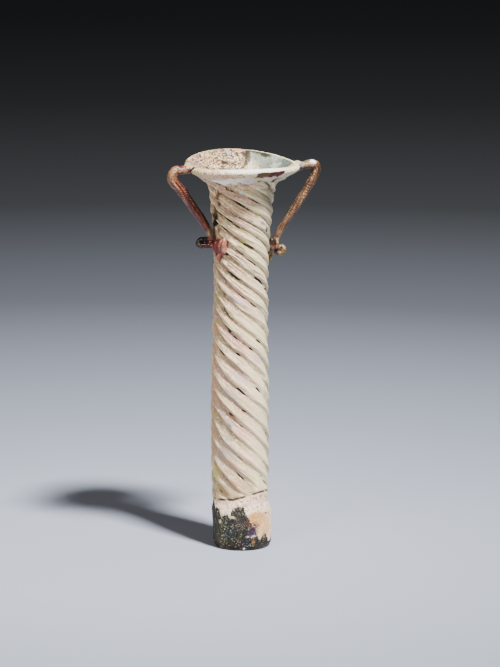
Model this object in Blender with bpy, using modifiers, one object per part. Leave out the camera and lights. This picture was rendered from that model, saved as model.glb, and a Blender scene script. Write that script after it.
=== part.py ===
"""Perfume flask of blown glass with spiral ribs and two trailed handles.

Metres, +Z up. The flask stands on the plane Z = 0 with its axis on Z, and its front looks along -Y.
The glass tube, its solid foot and its funnel mouth are one piece. Each handle is a trail of brown glass
that was pressed on the rim, bent down and pressed on the tube.
"""

import math

import bmesh
import bpy
from mathutils import Vector

# Heights of the three stretches of the flask
FOOT_HEIGHT = 0.0165
SHAFT_HEIGHT = 0.1100
MOUTH_HEIGHT = 0.0080

# Outer radii, measured over the ribs
FOOT_RADIUS = 0.0105
WAIST_RADIUS = 0.0098
BELLY_RADIUS = 0.0102
SLIM_RADIUS = 0.0096
SHOULDER_RADIUS = 0.0119
RIM_RADIUS = 0.0197

# Where the shaft's outline changes, as lengths along it
FOOT_NECK = 0.0042
BELLY_RISE = 0.0105
BELLY_END = 0.0340
SLIM_LEVEL = 0.0715
FLARE_POWER = 2.3

# Glass
FOOT_EDGE = 0.0020
FLOOR_THICKNESS = 0.0060
FLOOR_CURVE = 0.0040
WALL = 0.0015
LIP_THICKNESS = 0.0026
MOUTH_CURVE = 0.36
MOUTH_KNEE = 0.10

# Spiral ribs
RIB_COUNT = 9
COLUMNS_PER_RIB = 6
RIB_ROWS = 38
RIB_DEPTH = 0.00075
RIB_CREST = 1.0 / 3.0
RIB_ROUNDNESS = 1.2
RIB_SOFTNESS = 0.35
RIB_SOFT_HEIGHT = 0.0385
RIB_REACH = 0.0042
RIB_UNEVENNESS = 0.18
UNEVEN_PER_RIB = 2.4
UNEVEN_ALONG = 11.0
RIB_START = math.radians(7.8)
RIB_FADE = 0.0035
LEAD_TOP = 0.034
LEAD_MIDDLE = 0.050
LEAD_LOW = 0.056
LEAD_FOOT = 0.050
LEAD_MIDDLE_DEPTH = 0.45
LEAD_LOW_DEPTH = 0.86

# The tube was drawn out by hand and bows to one side
SWAY = 0.0007

# The handles pulled the rim down where they were pressed on it, and the rim is tipped up at the back
RIM_PULL = 0.0008
RIM_TIP = 0.0006
RIM_TIP_TOWARDS = math.radians(143.0)

# Handles: both stand in one upright plane
HANDLE_TURN = math.radians(19.0)
CLEARANCE = 0.0003
LEFT_THICKNESS = 0.0034
LEFT_REACH = 0.0250
LEFT_STANDOFF = 0.0018
LEFT_SPAN = 0.0297
LEFT_PAD_TURN = math.radians(17.0)
RIGHT_THICKNESS = 0.0031
RIGHT_REACH = 0.0268
RIGHT_STANDOFF = 0.0036
RIGHT_SPAN = 0.0316
PAD_THICKNESS = 0.0013
LEFT_PAD_WIDTH = 0.0068
LEFT_PAD_HEIGHT = 0.0076
RIGHT_PAD_WIDTH = 0.0044
RIGHT_PAD_HEIGHT = 0.0088
TAIL_LENGTH = 0.0066
TAIL_HEIGHT = 0.0036
TAIL_WIDTH = 0.0022
KNOT_RADIUS = 0.0020
KNOT_THICKNESS = 0.0023
SEAT_SIZE = 0.0036
TRAIL_SIDES = 2
TRAIL_STEPS = 3

WAIST_LEVEL = FOOT_HEIGHT
SHOULDER_LEVEL = FOOT_HEIGHT + SHAFT_HEIGHT
RIM_LEVEL = SHOULDER_LEVEL + MOUTH_HEIGHT


def ease(low, high, value):
    """0 below low, 1 above high, and a smooth rise between them."""
    share = min(max((value - low) / (high - low), 0.0), 1.0)
    return share * share * (3.0 - 2.0 * share)


def outer_radius(level):
    """Radius over the ribs, from the foot up to the shoulder."""
    belly = WAIST_LEVEL + BELLY_RISE
    slim = WAIST_LEVEL + SLIM_LEVEL
    radius = FOOT_RADIUS + (WAIST_RADIUS - FOOT_RADIUS) * ease(WAIST_LEVEL - FOOT_NECK, WAIST_LEVEL, level)
    radius += (BELLY_RADIUS - WAIST_RADIUS) * ease(WAIST_LEVEL, belly, level)
    radius += (SLIM_RADIUS - BELLY_RADIUS) * ease(WAIST_LEVEL + BELLY_END, slim, level)
    flare = min(max((level - slim) / (SHOULDER_LEVEL - slim), 0.0), 1.0)
    return radius + (SHOULDER_RADIUS - SLIM_RADIUS) * flare ** FLARE_POWER


def bore_radius(level):
    """Radius of the hollow inside, with the wall behind the grooves."""
    return outer_radius(level) - RIB_DEPTH - WALL


def turns_below_shoulder(level):
    """How far the ribs have turned about the axis on their way down from the shoulder, in turns.

    They turn the other way above it, where they run out on the underside of the funnel.
    """
    leads = (
        (0.0, LEAD_TOP),
        (LEAD_MIDDLE_DEPTH, LEAD_MIDDLE),
        (LEAD_LOW_DEPTH, LEAD_LOW),
        (1.0, LEAD_FOOT),
    )
    depth = min(max((SHOULDER_LEVEL - level) / SHAFT_HEIGHT, 0.0), 1.0)
    turns = -min(max(level - SHOULDER_LEVEL, 0.0), RIB_REACH) / LEAD_TOP
    for (start, upper), (end, lower) in zip(leads, leads[1:]):
        part = min(max(depth - start, 0.0), end - start)
        slope = (1.0 / lower - 1.0 / upper) / (end - start)
        turns += SHAFT_HEIGHT * (part / upper + 0.5 * slope * part * part)
    return turns


def rib_levels():
    """Heights of the rings along the shaft, so that the ribs turn equally far from each to the next."""
    total = turns_below_shoulder(WAIST_LEVEL)
    levels = []
    for row in range(RIB_ROWS + 1):
        wanted = total * row / RIB_ROWS
        low, high = WAIST_LEVEL, SHOULDER_LEVEL
        for _ in range(40):
            middle = 0.5 * (low + high)
            if turns_below_shoulder(middle) < wanted:
                high = middle
            else:
                low = middle
        levels.append(0.5 * (low + high))
    return levels


def groove(phase, level):
    """How far the surface lies below the ribs' crests: a rib rises steeply from one groove to its crest."""
    share = phase % 1.0
    within = max(1.0 - share / RIB_CREST, (share - RIB_CREST) / (1.0 - RIB_CREST)) ** RIB_ROUNDNESS
    uneven = math.sin(UNEVEN_PER_RIB * math.floor(phase) + UNEVEN_ALONG * level / SHAFT_HEIGHT)
    window = ease(WAIST_LEVEL, WAIST_LEVEL + RIB_FADE, level)
    window *= 1.0 - RIB_SOFTNESS * (1.0 - ease(WAIST_LEVEL, WAIST_LEVEL + RIB_SOFT_HEIGHT, level))
    window *= 1.0 - ease(SHOULDER_LEVEL + 0.25 * RIB_REACH, SHOULDER_LEVEL + 1.2 * RIB_REACH, level)
    return RIB_DEPTH * window * within * (1.0 + RIB_UNEVENNESS * uneven)


def sway(level):
    """Sideways shift of the tube's centre."""
    low = ease(0.25 * FOOT_HEIGHT, WAIST_LEVEL + RIB_FADE, level)
    return -SWAY * low * (1.0 - ease(WAIST_LEVEL + BELLY_END, RIM_LEVEL, level))


def rim_rise(angle, level):
    """How far the uneven mouth stands above its mean level."""
    pulled = RIM_PULL * math.cos(2.0 * (angle - HANDLE_TURN))
    tipped = RIM_TIP * math.cos(angle - RIM_TIP_TOWARDS)
    return (tipped - pulled) * ease(SHOULDER_LEVEL - MOUTH_HEIGHT, RIM_LEVEL, level)


def placed(radius, angle, level):
    """Point of the flask's own bowed and uneven form, from its plain turned form."""
    x = radius * math.cos(angle) + sway(level)
    return Vector((x, radius * math.sin(angle), level + rim_rise(angle, level)))


def mouth_wall(steps):
    """Points and outward normals on the middle of the funnel's wall, with half the wall's thickness."""
    outer = outer_radius(SHOULDER_LEVEL)
    inner = bore_radius(SHOULDER_LEVEL)
    start = Vector((0.5 * (outer + inner), SHOULDER_LEVEL))
    end = Vector((RIM_RADIUS - 0.5 * LIP_THICKNESS, RIM_LEVEL - 0.5 * LIP_THICKNESS))
    knee = Vector((start.x + MOUTH_KNEE * (end.x - start.x), start.y + MOUTH_CURVE * (end.y - start.y)))
    places = []
    for step in range(steps + 1):
        t = step / steps
        point = start * (1 - t) ** 2 + knee * 2 * t * (1 - t) + end * t * t
        along = ((knee - start) * (1 - t) + (end - knee) * t).normalized()
        half = 0.5 * ((outer - inner) * (1 - t) + LIP_THICKNESS * t)
        places.append((point, Vector((along.y, -along.x)), half))
    return places


def outer_profile(clearance):
    """Outside of the flask from its rim down to its underside, moved outwards by clearance."""
    wall = mouth_wall(5)
    centre, normal, half = wall[-1]
    points = []
    top = math.pi / 2
    under = math.atan2(normal.y, normal.x)
    for step in range(5):
        angle = top + (under - top) * step / 4
        points.append(centre + Vector((math.cos(angle), math.sin(angle))) * (half + clearance))
    for point, normal, half in reversed(wall[1:-1]):
        points.append(point + normal * (half + clearance))
    for level in rib_levels():
        points.append(Vector((outer_radius(level) + clearance, level)))
    for share in (0.35, 0.7, 1.0):
        level = WAIST_LEVEL - share * FOOT_NECK
        points.append(Vector((outer_radius(level) + clearance, level)))
    for angle in (0.0, 45.0, 90.0):
        turn = math.radians(angle)
        out = FOOT_RADIUS - FOOT_EDGE + (FOOT_EDGE + clearance) * math.cos(turn)
        points.append(Vector((out, FOOT_EDGE - (FOOT_EDGE + clearance) * math.sin(turn))))
    return points


def inner_profile():
    """Inside of the flask from the middle of its floor up to the rim."""
    floor_radius = bore_radius(FLOOR_THICKNESS + FLOOR_CURVE)
    points = [Vector((0.0, FLOOR_THICKNESS))]
    for angle in (90.0, 60.0, 30.0, 0.0):
        turn = math.radians(angle)
        out = floor_radius - FLOOR_CURVE * (1.0 - math.cos(turn))
        points.append(Vector((out, FLOOR_THICKNESS + FLOOR_CURVE * (1.0 - math.sin(turn)))))
    for share in (0.0, 0.12, 0.35, 0.65, 0.85, 0.96):
        level = WAIST_LEVEL + share * SHAFT_HEIGHT
        points.append(Vector((bore_radius(level), level)))
    for point, normal, half in mouth_wall(4):
        points.append(point - normal * half)
    centre, normal, half = mouth_wall(4)[-1]
    inside = math.atan2(-normal.y, -normal.x)
    for step in (1, 2):
        angle = inside + (math.pi / 2 - inside) * step / 3
        points.append(centre + Vector((math.cos(angle), math.sin(angle))) * half)
    return points


def turned(name, profile, collection, material):
    """A closed solid turned about Z from a profile that runs down on its outer side."""
    mesh = bpy.data.meshes.new(name + "_profile")
    vertices = [(point.x, 0.0, point.y) for point in profile]
    mesh.from_pydata(vertices, [(i, i + 1) for i in range(len(vertices) - 1)], [])
    source = bpy.data.objects.new(name + "_profile", mesh)
    collection.objects.link(source)
    screw = source.modifiers.new("Turn", "SCREW")
    screw.angle = math.tau
    screw.steps = RIB_COUNT * COLUMNS_PER_RIB
    screw.render_steps = screw.steps
    screw.use_merge_vertices = True
    screw.merge_threshold = 0.00001
    graph = bpy.context.evaluated_depsgraph_get()
    solid = bpy.data.meshes.new_from_object(source.evaluated_get(graph))
    solid.name = name
    solid.materials.clear()
    solid.materials.append(material)
    result = bpy.data.objects.new(name, solid)
    collection.objects.link(result)
    bpy.data.objects.remove(source)
    return result


def twist_and_press(obj, clearance):
    """Turn the outside about the axis, press the grooves into it, and give it the bow of the real tube."""
    shape = bmesh.new()
    shape.from_mesh(obj.data)
    for vertex in shape.verts:
        radius = math.hypot(vertex.co.x, vertex.co.y)
        level = vertex.co.z
        angle = math.atan2(vertex.co.y, vertex.co.x)
        outside = radius > bore_radius(level) + 0.5 * WALL
        under_funnel = level > SHOULDER_LEVEL and vertex.normal.z < 0.0
        on_shaft = WAIST_LEVEL - FOOT_NECK < level <= SHOULDER_LEVEL and outside
        phase = RIB_COUNT * angle / math.tau
        if on_shaft or under_funnel:
            radius -= groove(phase + 1e-6, level)
        if outside or level < 0.5 * FLOOR_THICKNESS:
            angle += math.tau * turns_below_shoulder(level)
        angle += RIB_START
        vertex.co = placed(radius, angle, level)
    bmesh.ops.triangulate(shape, faces=shape.faces, quad_method="SHORT_EDGE")
    shape.to_mesh(obj.data)
    shape.free()
    obj.data.shade_smooth()
    obj.data.set_sharp_from_angle(angle=math.radians(50.0))


def glass(name, colour, roughness):
    """Plain material of one colour."""
    material = bpy.data.materials.new(name)
    material.use_nodes = True
    shader = material.node_tree.nodes["Principled BSDF"]
    shader.inputs["Base Color"].default_value = (*colour, 1.0)
    shader.inputs["Roughness"].default_value = roughness
    shader.inputs["Metallic"].default_value = 0.0
    return material


def hide(obj):
    """Mark an object as a guide that is no part of the flask."""
    obj.hide_render = True
    obj.display_type = "WIRE"


def make_flask(parts, material):
    """Tube, foot and mouth, hollow and open at the top."""
    profile = inner_profile() + outer_profile(0.0) + [Vector((0.0, 0.0))]
    flask = turned("flask_body", profile, parts, material)
    twist_and_press(flask, 0.0)
    return flask


def make_flask_seat(guides, material):
    """The flask's outer form with the clearance on it, closed over the mouth, to cut the handles' seats."""
    outside = outer_profile(CLEARANCE)
    profile = [Vector((0.0, outside[0].y))] + outside + [Vector((0.0, outside[-1].y))]
    seat = turned("flask_seat", profile, guides, material)
    twist_and_press(seat, CLEARANCE)
    hide(seat)
    return seat


def handle_angle(side):
    """Direction of a handle about the axis: side is 1 for the right one and -1 for the left one."""
    return HANDLE_TURN if side > 0 else HANDLE_TURN + math.pi


def trail(name, side, route, thickness, guides, material):
    """A bent trail of glass as a closed mesh.

    The route's points are (out, level, share of the thickness, turn away from the handle's own plane).
    """
    curve = bpy.data.curves.new(name, "CURVE")
    curve.dimensions = "3D"
    curve.bevel_depth = 0.5 * thickness
    curve.bevel_resolution = TRAIL_SIDES
    curve.resolution_u = TRAIL_STEPS
    curve.use_fill_caps = True
    spline = curve.splines.new("BEZIER")
    spline.bezier_points.add(len(route) - 1)
    for point, (out, level, share, turn) in zip(spline.bezier_points, route):
        point.co = placed(out, handle_angle(side) + turn, level)
        point.handle_left_type = "AUTO"
        point.handle_right_type = "AUTO"
        point.radius = share
    source = bpy.data.objects.new(name + "_curve", curve)
    guides.objects.link(source)
    graph = bpy.context.evaluated_depsgraph_get()
    mesh = bpy.data.meshes.new_from_object(source.evaluated_get(graph))
    shape = bmesh.new()
    shape.from_mesh(mesh)
    bmesh.ops.remove_doubles(shape, verts=shape.verts, dist=0.00001)
    bmesh.ops.recalc_face_normals(shape, faces=shape.faces)
    shape.to_mesh(mesh)
    shape.free()
    mesh.materials.clear()
    mesh.materials.append(material)
    mesh.shade_smooth()
    result = bpy.data.objects.new(name, mesh)
    result.matrix_world = source.matrix_world.copy()
    bpy.data.objects.remove(source)
    return result


def blob(name, angle, out, level, size, guides, material, taper=0.0, blunt=0.0):
    """A lump of glass pressed round the flask: size is its depth, width and height.

    taper narrows its lower end, and blunt makes its inner and outer ends fuller than an egg's.
    """
    shape = bmesh.new()
    bmesh.ops.create_uvsphere(shape, u_segments=12, v_segments=8, radius=1.0)
    for vertex in shape.verts:
        depth, width, height = vertex.co
        fuller = max(1.0 - depth * depth, 0.05) ** (-0.5 * blunt)
        width *= (1.0 - taper * 0.5 * (1.0 - height)) * fuller
        turn = angle + 0.5 * size[1] * width / out
        vertex.co = placed(out + 0.5 * size[0] * depth, turn, level + 0.5 * size[2] * height * fuller)
    mesh = bpy.data.meshes.new(name)
    shape.to_mesh(mesh)
    shape.free()
    mesh.materials.append(material)
    mesh.shade_smooth()
    lump = bpy.data.objects.new(name, mesh)
    guides.objects.link(lump)
    hide(lump)
    return lump


def ring(name, angle, out, level, guides, material):
    """A small loop of glass that stands in the handles' plane."""
    bpy.ops.mesh.primitive_torus_add(
        major_segments=14,
        minor_segments=8,
        major_radius=KNOT_RADIUS,
        minor_radius=0.5 * KNOT_THICKNESS,
        location=placed(out, angle, level),
        rotation=(math.pi / 2, 0.0, angle),
    )
    loop = bpy.context.active_object
    loop.name = name
    for owner in loop.users_collection:
        owner.objects.unlink(loop)
    guides.objects.link(loop)
    loop.data.materials.append(material)
    loop.data.shade_smooth()
    hide(loop)
    return loop


def join(handle, lumps, seat):
    """Melt the lumps to the trail, then cut the seats on the rim and on the ribs."""
    for lump in lumps:
        union = handle.modifiers.new("Melt " + lump.name, "BOOLEAN")
        union.operation = "UNION"
        union.object = lump
    cut = handle.modifiers.new("Seat", "BOOLEAN")
    cut.operation = "DIFFERENCE"
    cut.object = seat
    cut.use_self = True


def strut(foot, head, shares):
    """Points between the lower and the upper end of a handle's slanting part."""
    points = []
    for out_share, up_share, thick in shares:
        out = foot[0] + out_share * (head[0] - foot[0])
        points.append((out, foot[1] + up_share * (head[1] - foot[1]), thick, 0.0))
    return points


def make_left_handle(parts, guides, seat, material):
    """Left handle: thick trail with a rounded bend, a wide pinched pad and a folded tail."""
    angle = handle_angle(-1)
    half = 0.5 * LEFT_THICKNESS
    lip = RIM_LEVEL - 0.5 * LIP_THICKNESS
    pad = RIM_LEVEL - LEFT_SPAN
    tube = outer_radius(pad)
    head = (LEFT_REACH - 0.02 * half, lip - 1.8 * half)
    foot = (tube + LEFT_STANDOFF, pad + 0.78 * LEFT_PAD_HEIGHT)
    route = [
        (RIM_RADIUS - half, lip - 0.2 * half, 0.90, 0.0),
        (RIM_RADIUS + 0.40 * (LEFT_REACH - RIM_RADIUS), lip - 0.2 * half, 0.90, 0.0),
        (LEFT_REACH - 0.40 * half, lip - 0.5 * half, 1.02, 0.0),
        (*head, 1.08, 0.0),
    ]
    route += strut(foot, head, ((0.78, 0.79, 1.02), (0.36, 0.38, 0.95), (0.10, 0.12, 0.90)))
    route += [
        (tube + 0.7 * half, pad + 0.45 * LEFT_PAD_HEIGHT, 0.66, 0.25 * LEFT_PAD_TURN),
        (tube + 0.25 * half, pad, 0.66, LEFT_PAD_TURN),
    ]
    handle = trail("handle_left", -1, route, LEFT_THICKNESS, guides, material)
    parts.objects.link(handle)
    seat_size = (SEAT_SIZE, 1.1 * SEAT_SIZE, 1.15 * SEAT_SIZE)
    pad_size = (2.0 * PAD_THICKNESS, LEFT_PAD_WIDTH, LEFT_PAD_HEIGHT)
    tail_size = (2.0 * TAIL_LENGTH, TAIL_WIDTH, TAIL_HEIGHT)
    tail_out = tube + 0.1 * TAIL_LENGTH
    tail_level = pad + 0.26 * LEFT_PAD_HEIGHT
    lumps = (
        blob("left_rim_seat", angle, RIM_RADIUS, lip, seat_size, guides, material),
        blob("left_pad", angle + LEFT_PAD_TURN, tube, pad, pad_size, guides, material, taper=0.6),
        blob("left_tail", angle, tail_out, tail_level, tail_size, guides, material, blunt=0.6),
    )
    join(handle, lumps, seat)
    return handle


def make_right_handle(parts, guides, seat, material):
    """Right handle: slimmer trail with a sharp corner, which ends in a small knot with a hole."""
    angle = handle_angle(1)
    half = 0.5 * RIGHT_THICKNESS
    lip = RIM_LEVEL - 0.5 * LIP_THICKNESS
    pad = RIM_LEVEL - RIGHT_SPAN
    tube = outer_radius(pad)
    head = (RIGHT_REACH - 0.1 * half, lip - 2.1 * half)
    foot = (tube + RIGHT_STANDOFF, pad + 0.70 * RIGHT_PAD_HEIGHT)
    route = [
        (RIM_RADIUS - half, lip - 0.8 * half, 1.05, 0.0),
        (RIM_RADIUS + 0.4 * (RIGHT_REACH - RIM_RADIUS), lip - 0.3 * half, 0.95, 0.0),
        (RIGHT_REACH - 0.8 * half, lip - 0.1 * half, 1.0, 0.0),
        (RIGHT_REACH, lip - 0.9 * half, 1.05, 0.0),
        (*head, 1.05, 0.0),
    ]
    route += strut(foot, head, ((0.58, 0.52, 0.97), (0.19, 0.17, 0.90)))
    route += [
        (tube + 0.74 * RIGHT_STANDOFF, pad + 0.42 * RIGHT_PAD_HEIGHT, 0.78, 0.0),
        (tube + 0.42 * RIGHT_STANDOFF, pad + 0.15 * RIGHT_PAD_HEIGHT, 0.70, 0.0),
    ]
    handle = trail("handle_right", 1, route, RIGHT_THICKNESS, guides, material)
    parts.objects.link(handle)
    seat_size = (1.15 * SEAT_SIZE, 1.1 * SEAT_SIZE, SEAT_SIZE)
    pad_size = (2.0 * PAD_THICKNESS, RIGHT_PAD_WIDTH, RIGHT_PAD_HEIGHT)
    seat_out = RIM_RADIUS + 0.1 * SEAT_SIZE
    seat_level = lip - 0.15 * SEAT_SIZE
    pad_out = tube + 0.2 * PAD_THICKNESS
    knot_out = tube + KNOT_RADIUS + 0.6 * KNOT_THICKNESS
    knot_level = pad - 0.07 * RIGHT_PAD_HEIGHT
    lumps = (
        blob("right_rim_seat", angle, seat_out, seat_level, seat_size, guides, material),
        blob("right_pad", angle, pad_out, pad, pad_size, guides, material, taper=0.6),
        ring("right_knot", angle, knot_out, knot_level, guides, material),
    )
    join(handle, lumps, seat)
    return handle


def main():
    for obj in list(bpy.data.objects):
        bpy.data.objects.remove(obj)
    parts = bpy.data.collections.new("perfume_flask")
    guides = bpy.data.collections.new("guides")
    bpy.context.scene.collection.children.link(parts)
    bpy.context.scene.collection.children.link(guides)
    weathered = glass("weathered_glass", (0.66, 0.60, 0.53), 0.45)
    left_brown = glass("left_brown_glass", (0.26, 0.10, 0.06), 0.35)
    right_brown = glass("right_brown_glass", (0.24, 0.13, 0.07), 0.35)

    root = bpy.data.objects.new("flask", None)
    parts.objects.link(root)
    flask = make_flask(parts, weathered)
    seat = make_flask_seat(guides, weathered)
    left = make_left_handle(parts, guides, seat, left_brown)
    right = make_right_handle(parts, guides, seat, right_brown)
    for piece in (flask, left, right):
        piece.parent = root


main()
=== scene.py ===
"""Weathered glass perfume flask: a twisted and ribbed tube on a thick foot, with two trailed brown handles.

Lengths are in metres, or in millimetres where a name ends in mm or a comment says so. Azimuths are in
degrees, 0 at +X and -90 at the front. The flask stands on Z = 0 and its front looks along -Y.
"""

import math

import bmesh
import bpy
from bpy.props import FloatProperty, FloatVectorProperty, IntProperty, PointerProperty
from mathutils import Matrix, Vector, kdtree, noise


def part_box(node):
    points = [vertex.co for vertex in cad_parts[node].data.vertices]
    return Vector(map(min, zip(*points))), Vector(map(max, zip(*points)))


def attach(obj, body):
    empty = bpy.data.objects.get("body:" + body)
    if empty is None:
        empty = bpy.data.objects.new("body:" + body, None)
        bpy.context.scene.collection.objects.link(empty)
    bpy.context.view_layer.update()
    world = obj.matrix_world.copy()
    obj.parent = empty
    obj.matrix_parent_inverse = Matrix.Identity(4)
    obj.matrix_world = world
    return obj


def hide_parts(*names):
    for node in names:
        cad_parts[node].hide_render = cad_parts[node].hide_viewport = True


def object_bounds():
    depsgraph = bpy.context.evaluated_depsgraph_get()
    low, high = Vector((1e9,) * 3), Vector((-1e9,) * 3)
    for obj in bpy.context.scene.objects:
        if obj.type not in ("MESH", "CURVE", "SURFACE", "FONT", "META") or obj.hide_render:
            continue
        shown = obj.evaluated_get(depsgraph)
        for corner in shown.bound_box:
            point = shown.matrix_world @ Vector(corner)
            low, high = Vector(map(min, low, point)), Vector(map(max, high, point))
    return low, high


bl_info = {
    "name": "Ribbed Perfume Flask",
    "version": (1, 0, 0),
    "blender": (4, 5, 0),
    "location": "View3D > Sidebar > Flask",
    "description": "Builds the finished surfaces of a weathered glass perfume flask",
    "category": "Add Mesh",
}

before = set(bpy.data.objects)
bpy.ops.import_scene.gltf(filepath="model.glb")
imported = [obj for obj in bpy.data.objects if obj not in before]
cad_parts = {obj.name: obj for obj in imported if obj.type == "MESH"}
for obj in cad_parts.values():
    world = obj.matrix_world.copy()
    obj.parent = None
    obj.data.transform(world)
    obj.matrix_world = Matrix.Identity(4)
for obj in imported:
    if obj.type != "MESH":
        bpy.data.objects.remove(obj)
CAD_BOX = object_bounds()
MM = 0.001

# The flask's own form, repeated from its construction
FOOT_HEIGHT = 0.0165
SHAFT_HEIGHT = 0.1100
MOUTH_HEIGHT = 0.0080
FOOT_RADIUS = 0.0105
WAIST_RADIUS = 0.0098
BELLY_RADIUS = 0.0102
SLIM_RADIUS = 0.0096
SHOULDER_RADIUS = 0.0119
RIM_RADIUS = 0.0197
FOOT_NECK = 0.0042
BELLY_RISE = 0.0105
BELLY_END = 0.0340
SLIM_LEVEL = 0.0715
FLARE_POWER = 2.3
FOOT_EDGE = 0.0020
FLOOR_THICKNESS = 0.0060
FLOOR_CURVE = 0.0040
WALL = 0.0015
LIP_THICKNESS = 0.0026
MOUTH_CURVE = 0.36
MOUTH_KNEE = 0.10
RIB_START = math.radians(7.8)
RIB_FADE = 0.0035
WAIST_CLIMB_MM = 3.0
WAIST_PEAK = -40.0
CAD_RIB_DEPTH = 0.00075
LEADS = ((0.0, 0.034), (0.45, 0.050), (0.86, 0.056), (1.0, 0.050))
SWAY = 0.0007
RIM_PULL = 0.0008
RIM_TIP = 0.0006
RIM_TIP_TOWARDS = math.radians(143.0)
HANDLE_TURN = math.radians(19.0)
LEFT_REACH = 0.0250
LEFT_STANDOFF = 0.0018
LEFT_SPAN = 0.0297
LEFT_PAD_TURN = math.radians(17.0)
LEFT_PAD_HEIGHT = 0.0076
RIGHT_REACH = 0.0268
RIGHT_STANDOFF = 0.0036
RIGHT_SPAN = 0.0316
RIGHT_PAD_HEIGHT = 0.0088

WAIST_LEVEL = FOOT_HEIGHT
SHOULDER_LEVEL = FOOT_HEIGHT + SHAFT_HEIGHT
RIM_LEVEL = SHOULDER_LEVEL + MOUTH_HEIGHT
LIP_LEVEL = RIM_LEVEL - 0.5 * LIP_THICKNESS


def paint(red, green, blue):
    """Linear colour of a paint given by its 0 to 255 screen values."""
    def linear(value):
        share = value / 255.0
        return share / 12.92 if share <= 0.04045 else ((share + 0.055) / 1.055) ** 2.4

    return (linear(red), linear(green), linear(blue))


# Paints of the stains and of the bare glass
OLIVE = paint(104, 92, 44)
YELLOW_GREEN = paint(176, 172, 60)
PALE_BLUE = paint(196, 220, 244)
TAN = paint(196, 142, 84)
ORANGE_BROWN = paint(178, 112, 62)
PINK = paint(238, 198, 182)
LAVENDER = paint(190, 168, 190)
WHITE_CRUST = paint(250, 244, 230)
GREY_TEAL = paint(146, 154, 140)
MAROON = paint(96, 22, 18)
BROWN = paint(104, 76, 34)
PURPLE = paint(46, 22, 60)
BLUE_BLACK = paint(4, 16, 34)
DARK_CHIP = paint(20, 16, 13)
PALE_EDGE = paint(250, 232, 222)
PALE_GREEN = paint(204, 206, 160)

# Dark streaks where the crust broke out of a groove on the front: azimuth, level in mm, length in mm
FRONT_STREAKS = (
    (-120.0, 96.2, 4.6),
    (-127.0, 90.1, 2.6),
    (-123.0, 84.0, 3.8),
    (-113.0, 78.0, 4.4),
    (-119.0, 69.2, 2.6),
    (-100.0, 69.0, 1.8),
    (-61.0, 70.7, 1.8),
    (-47.0, 73.0, 2.2),
    (-86.5, 56.1, 4.2),
    (-41.0, 56.2, 3.4),
    (-20.0, 56.8, 2.2),
    (-99.5, 48.0, 2.0),
    (-140.0, 104.0, 3.0),
    (-128.0, 112.5, 2.6),
    (-150.0, 112.0, 4.0),
    (-68.0, 101.0, 3.4),
    (-49.0, 86.0, 3.0),
    (-30.0, 90.0, 2.4),
)

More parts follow.
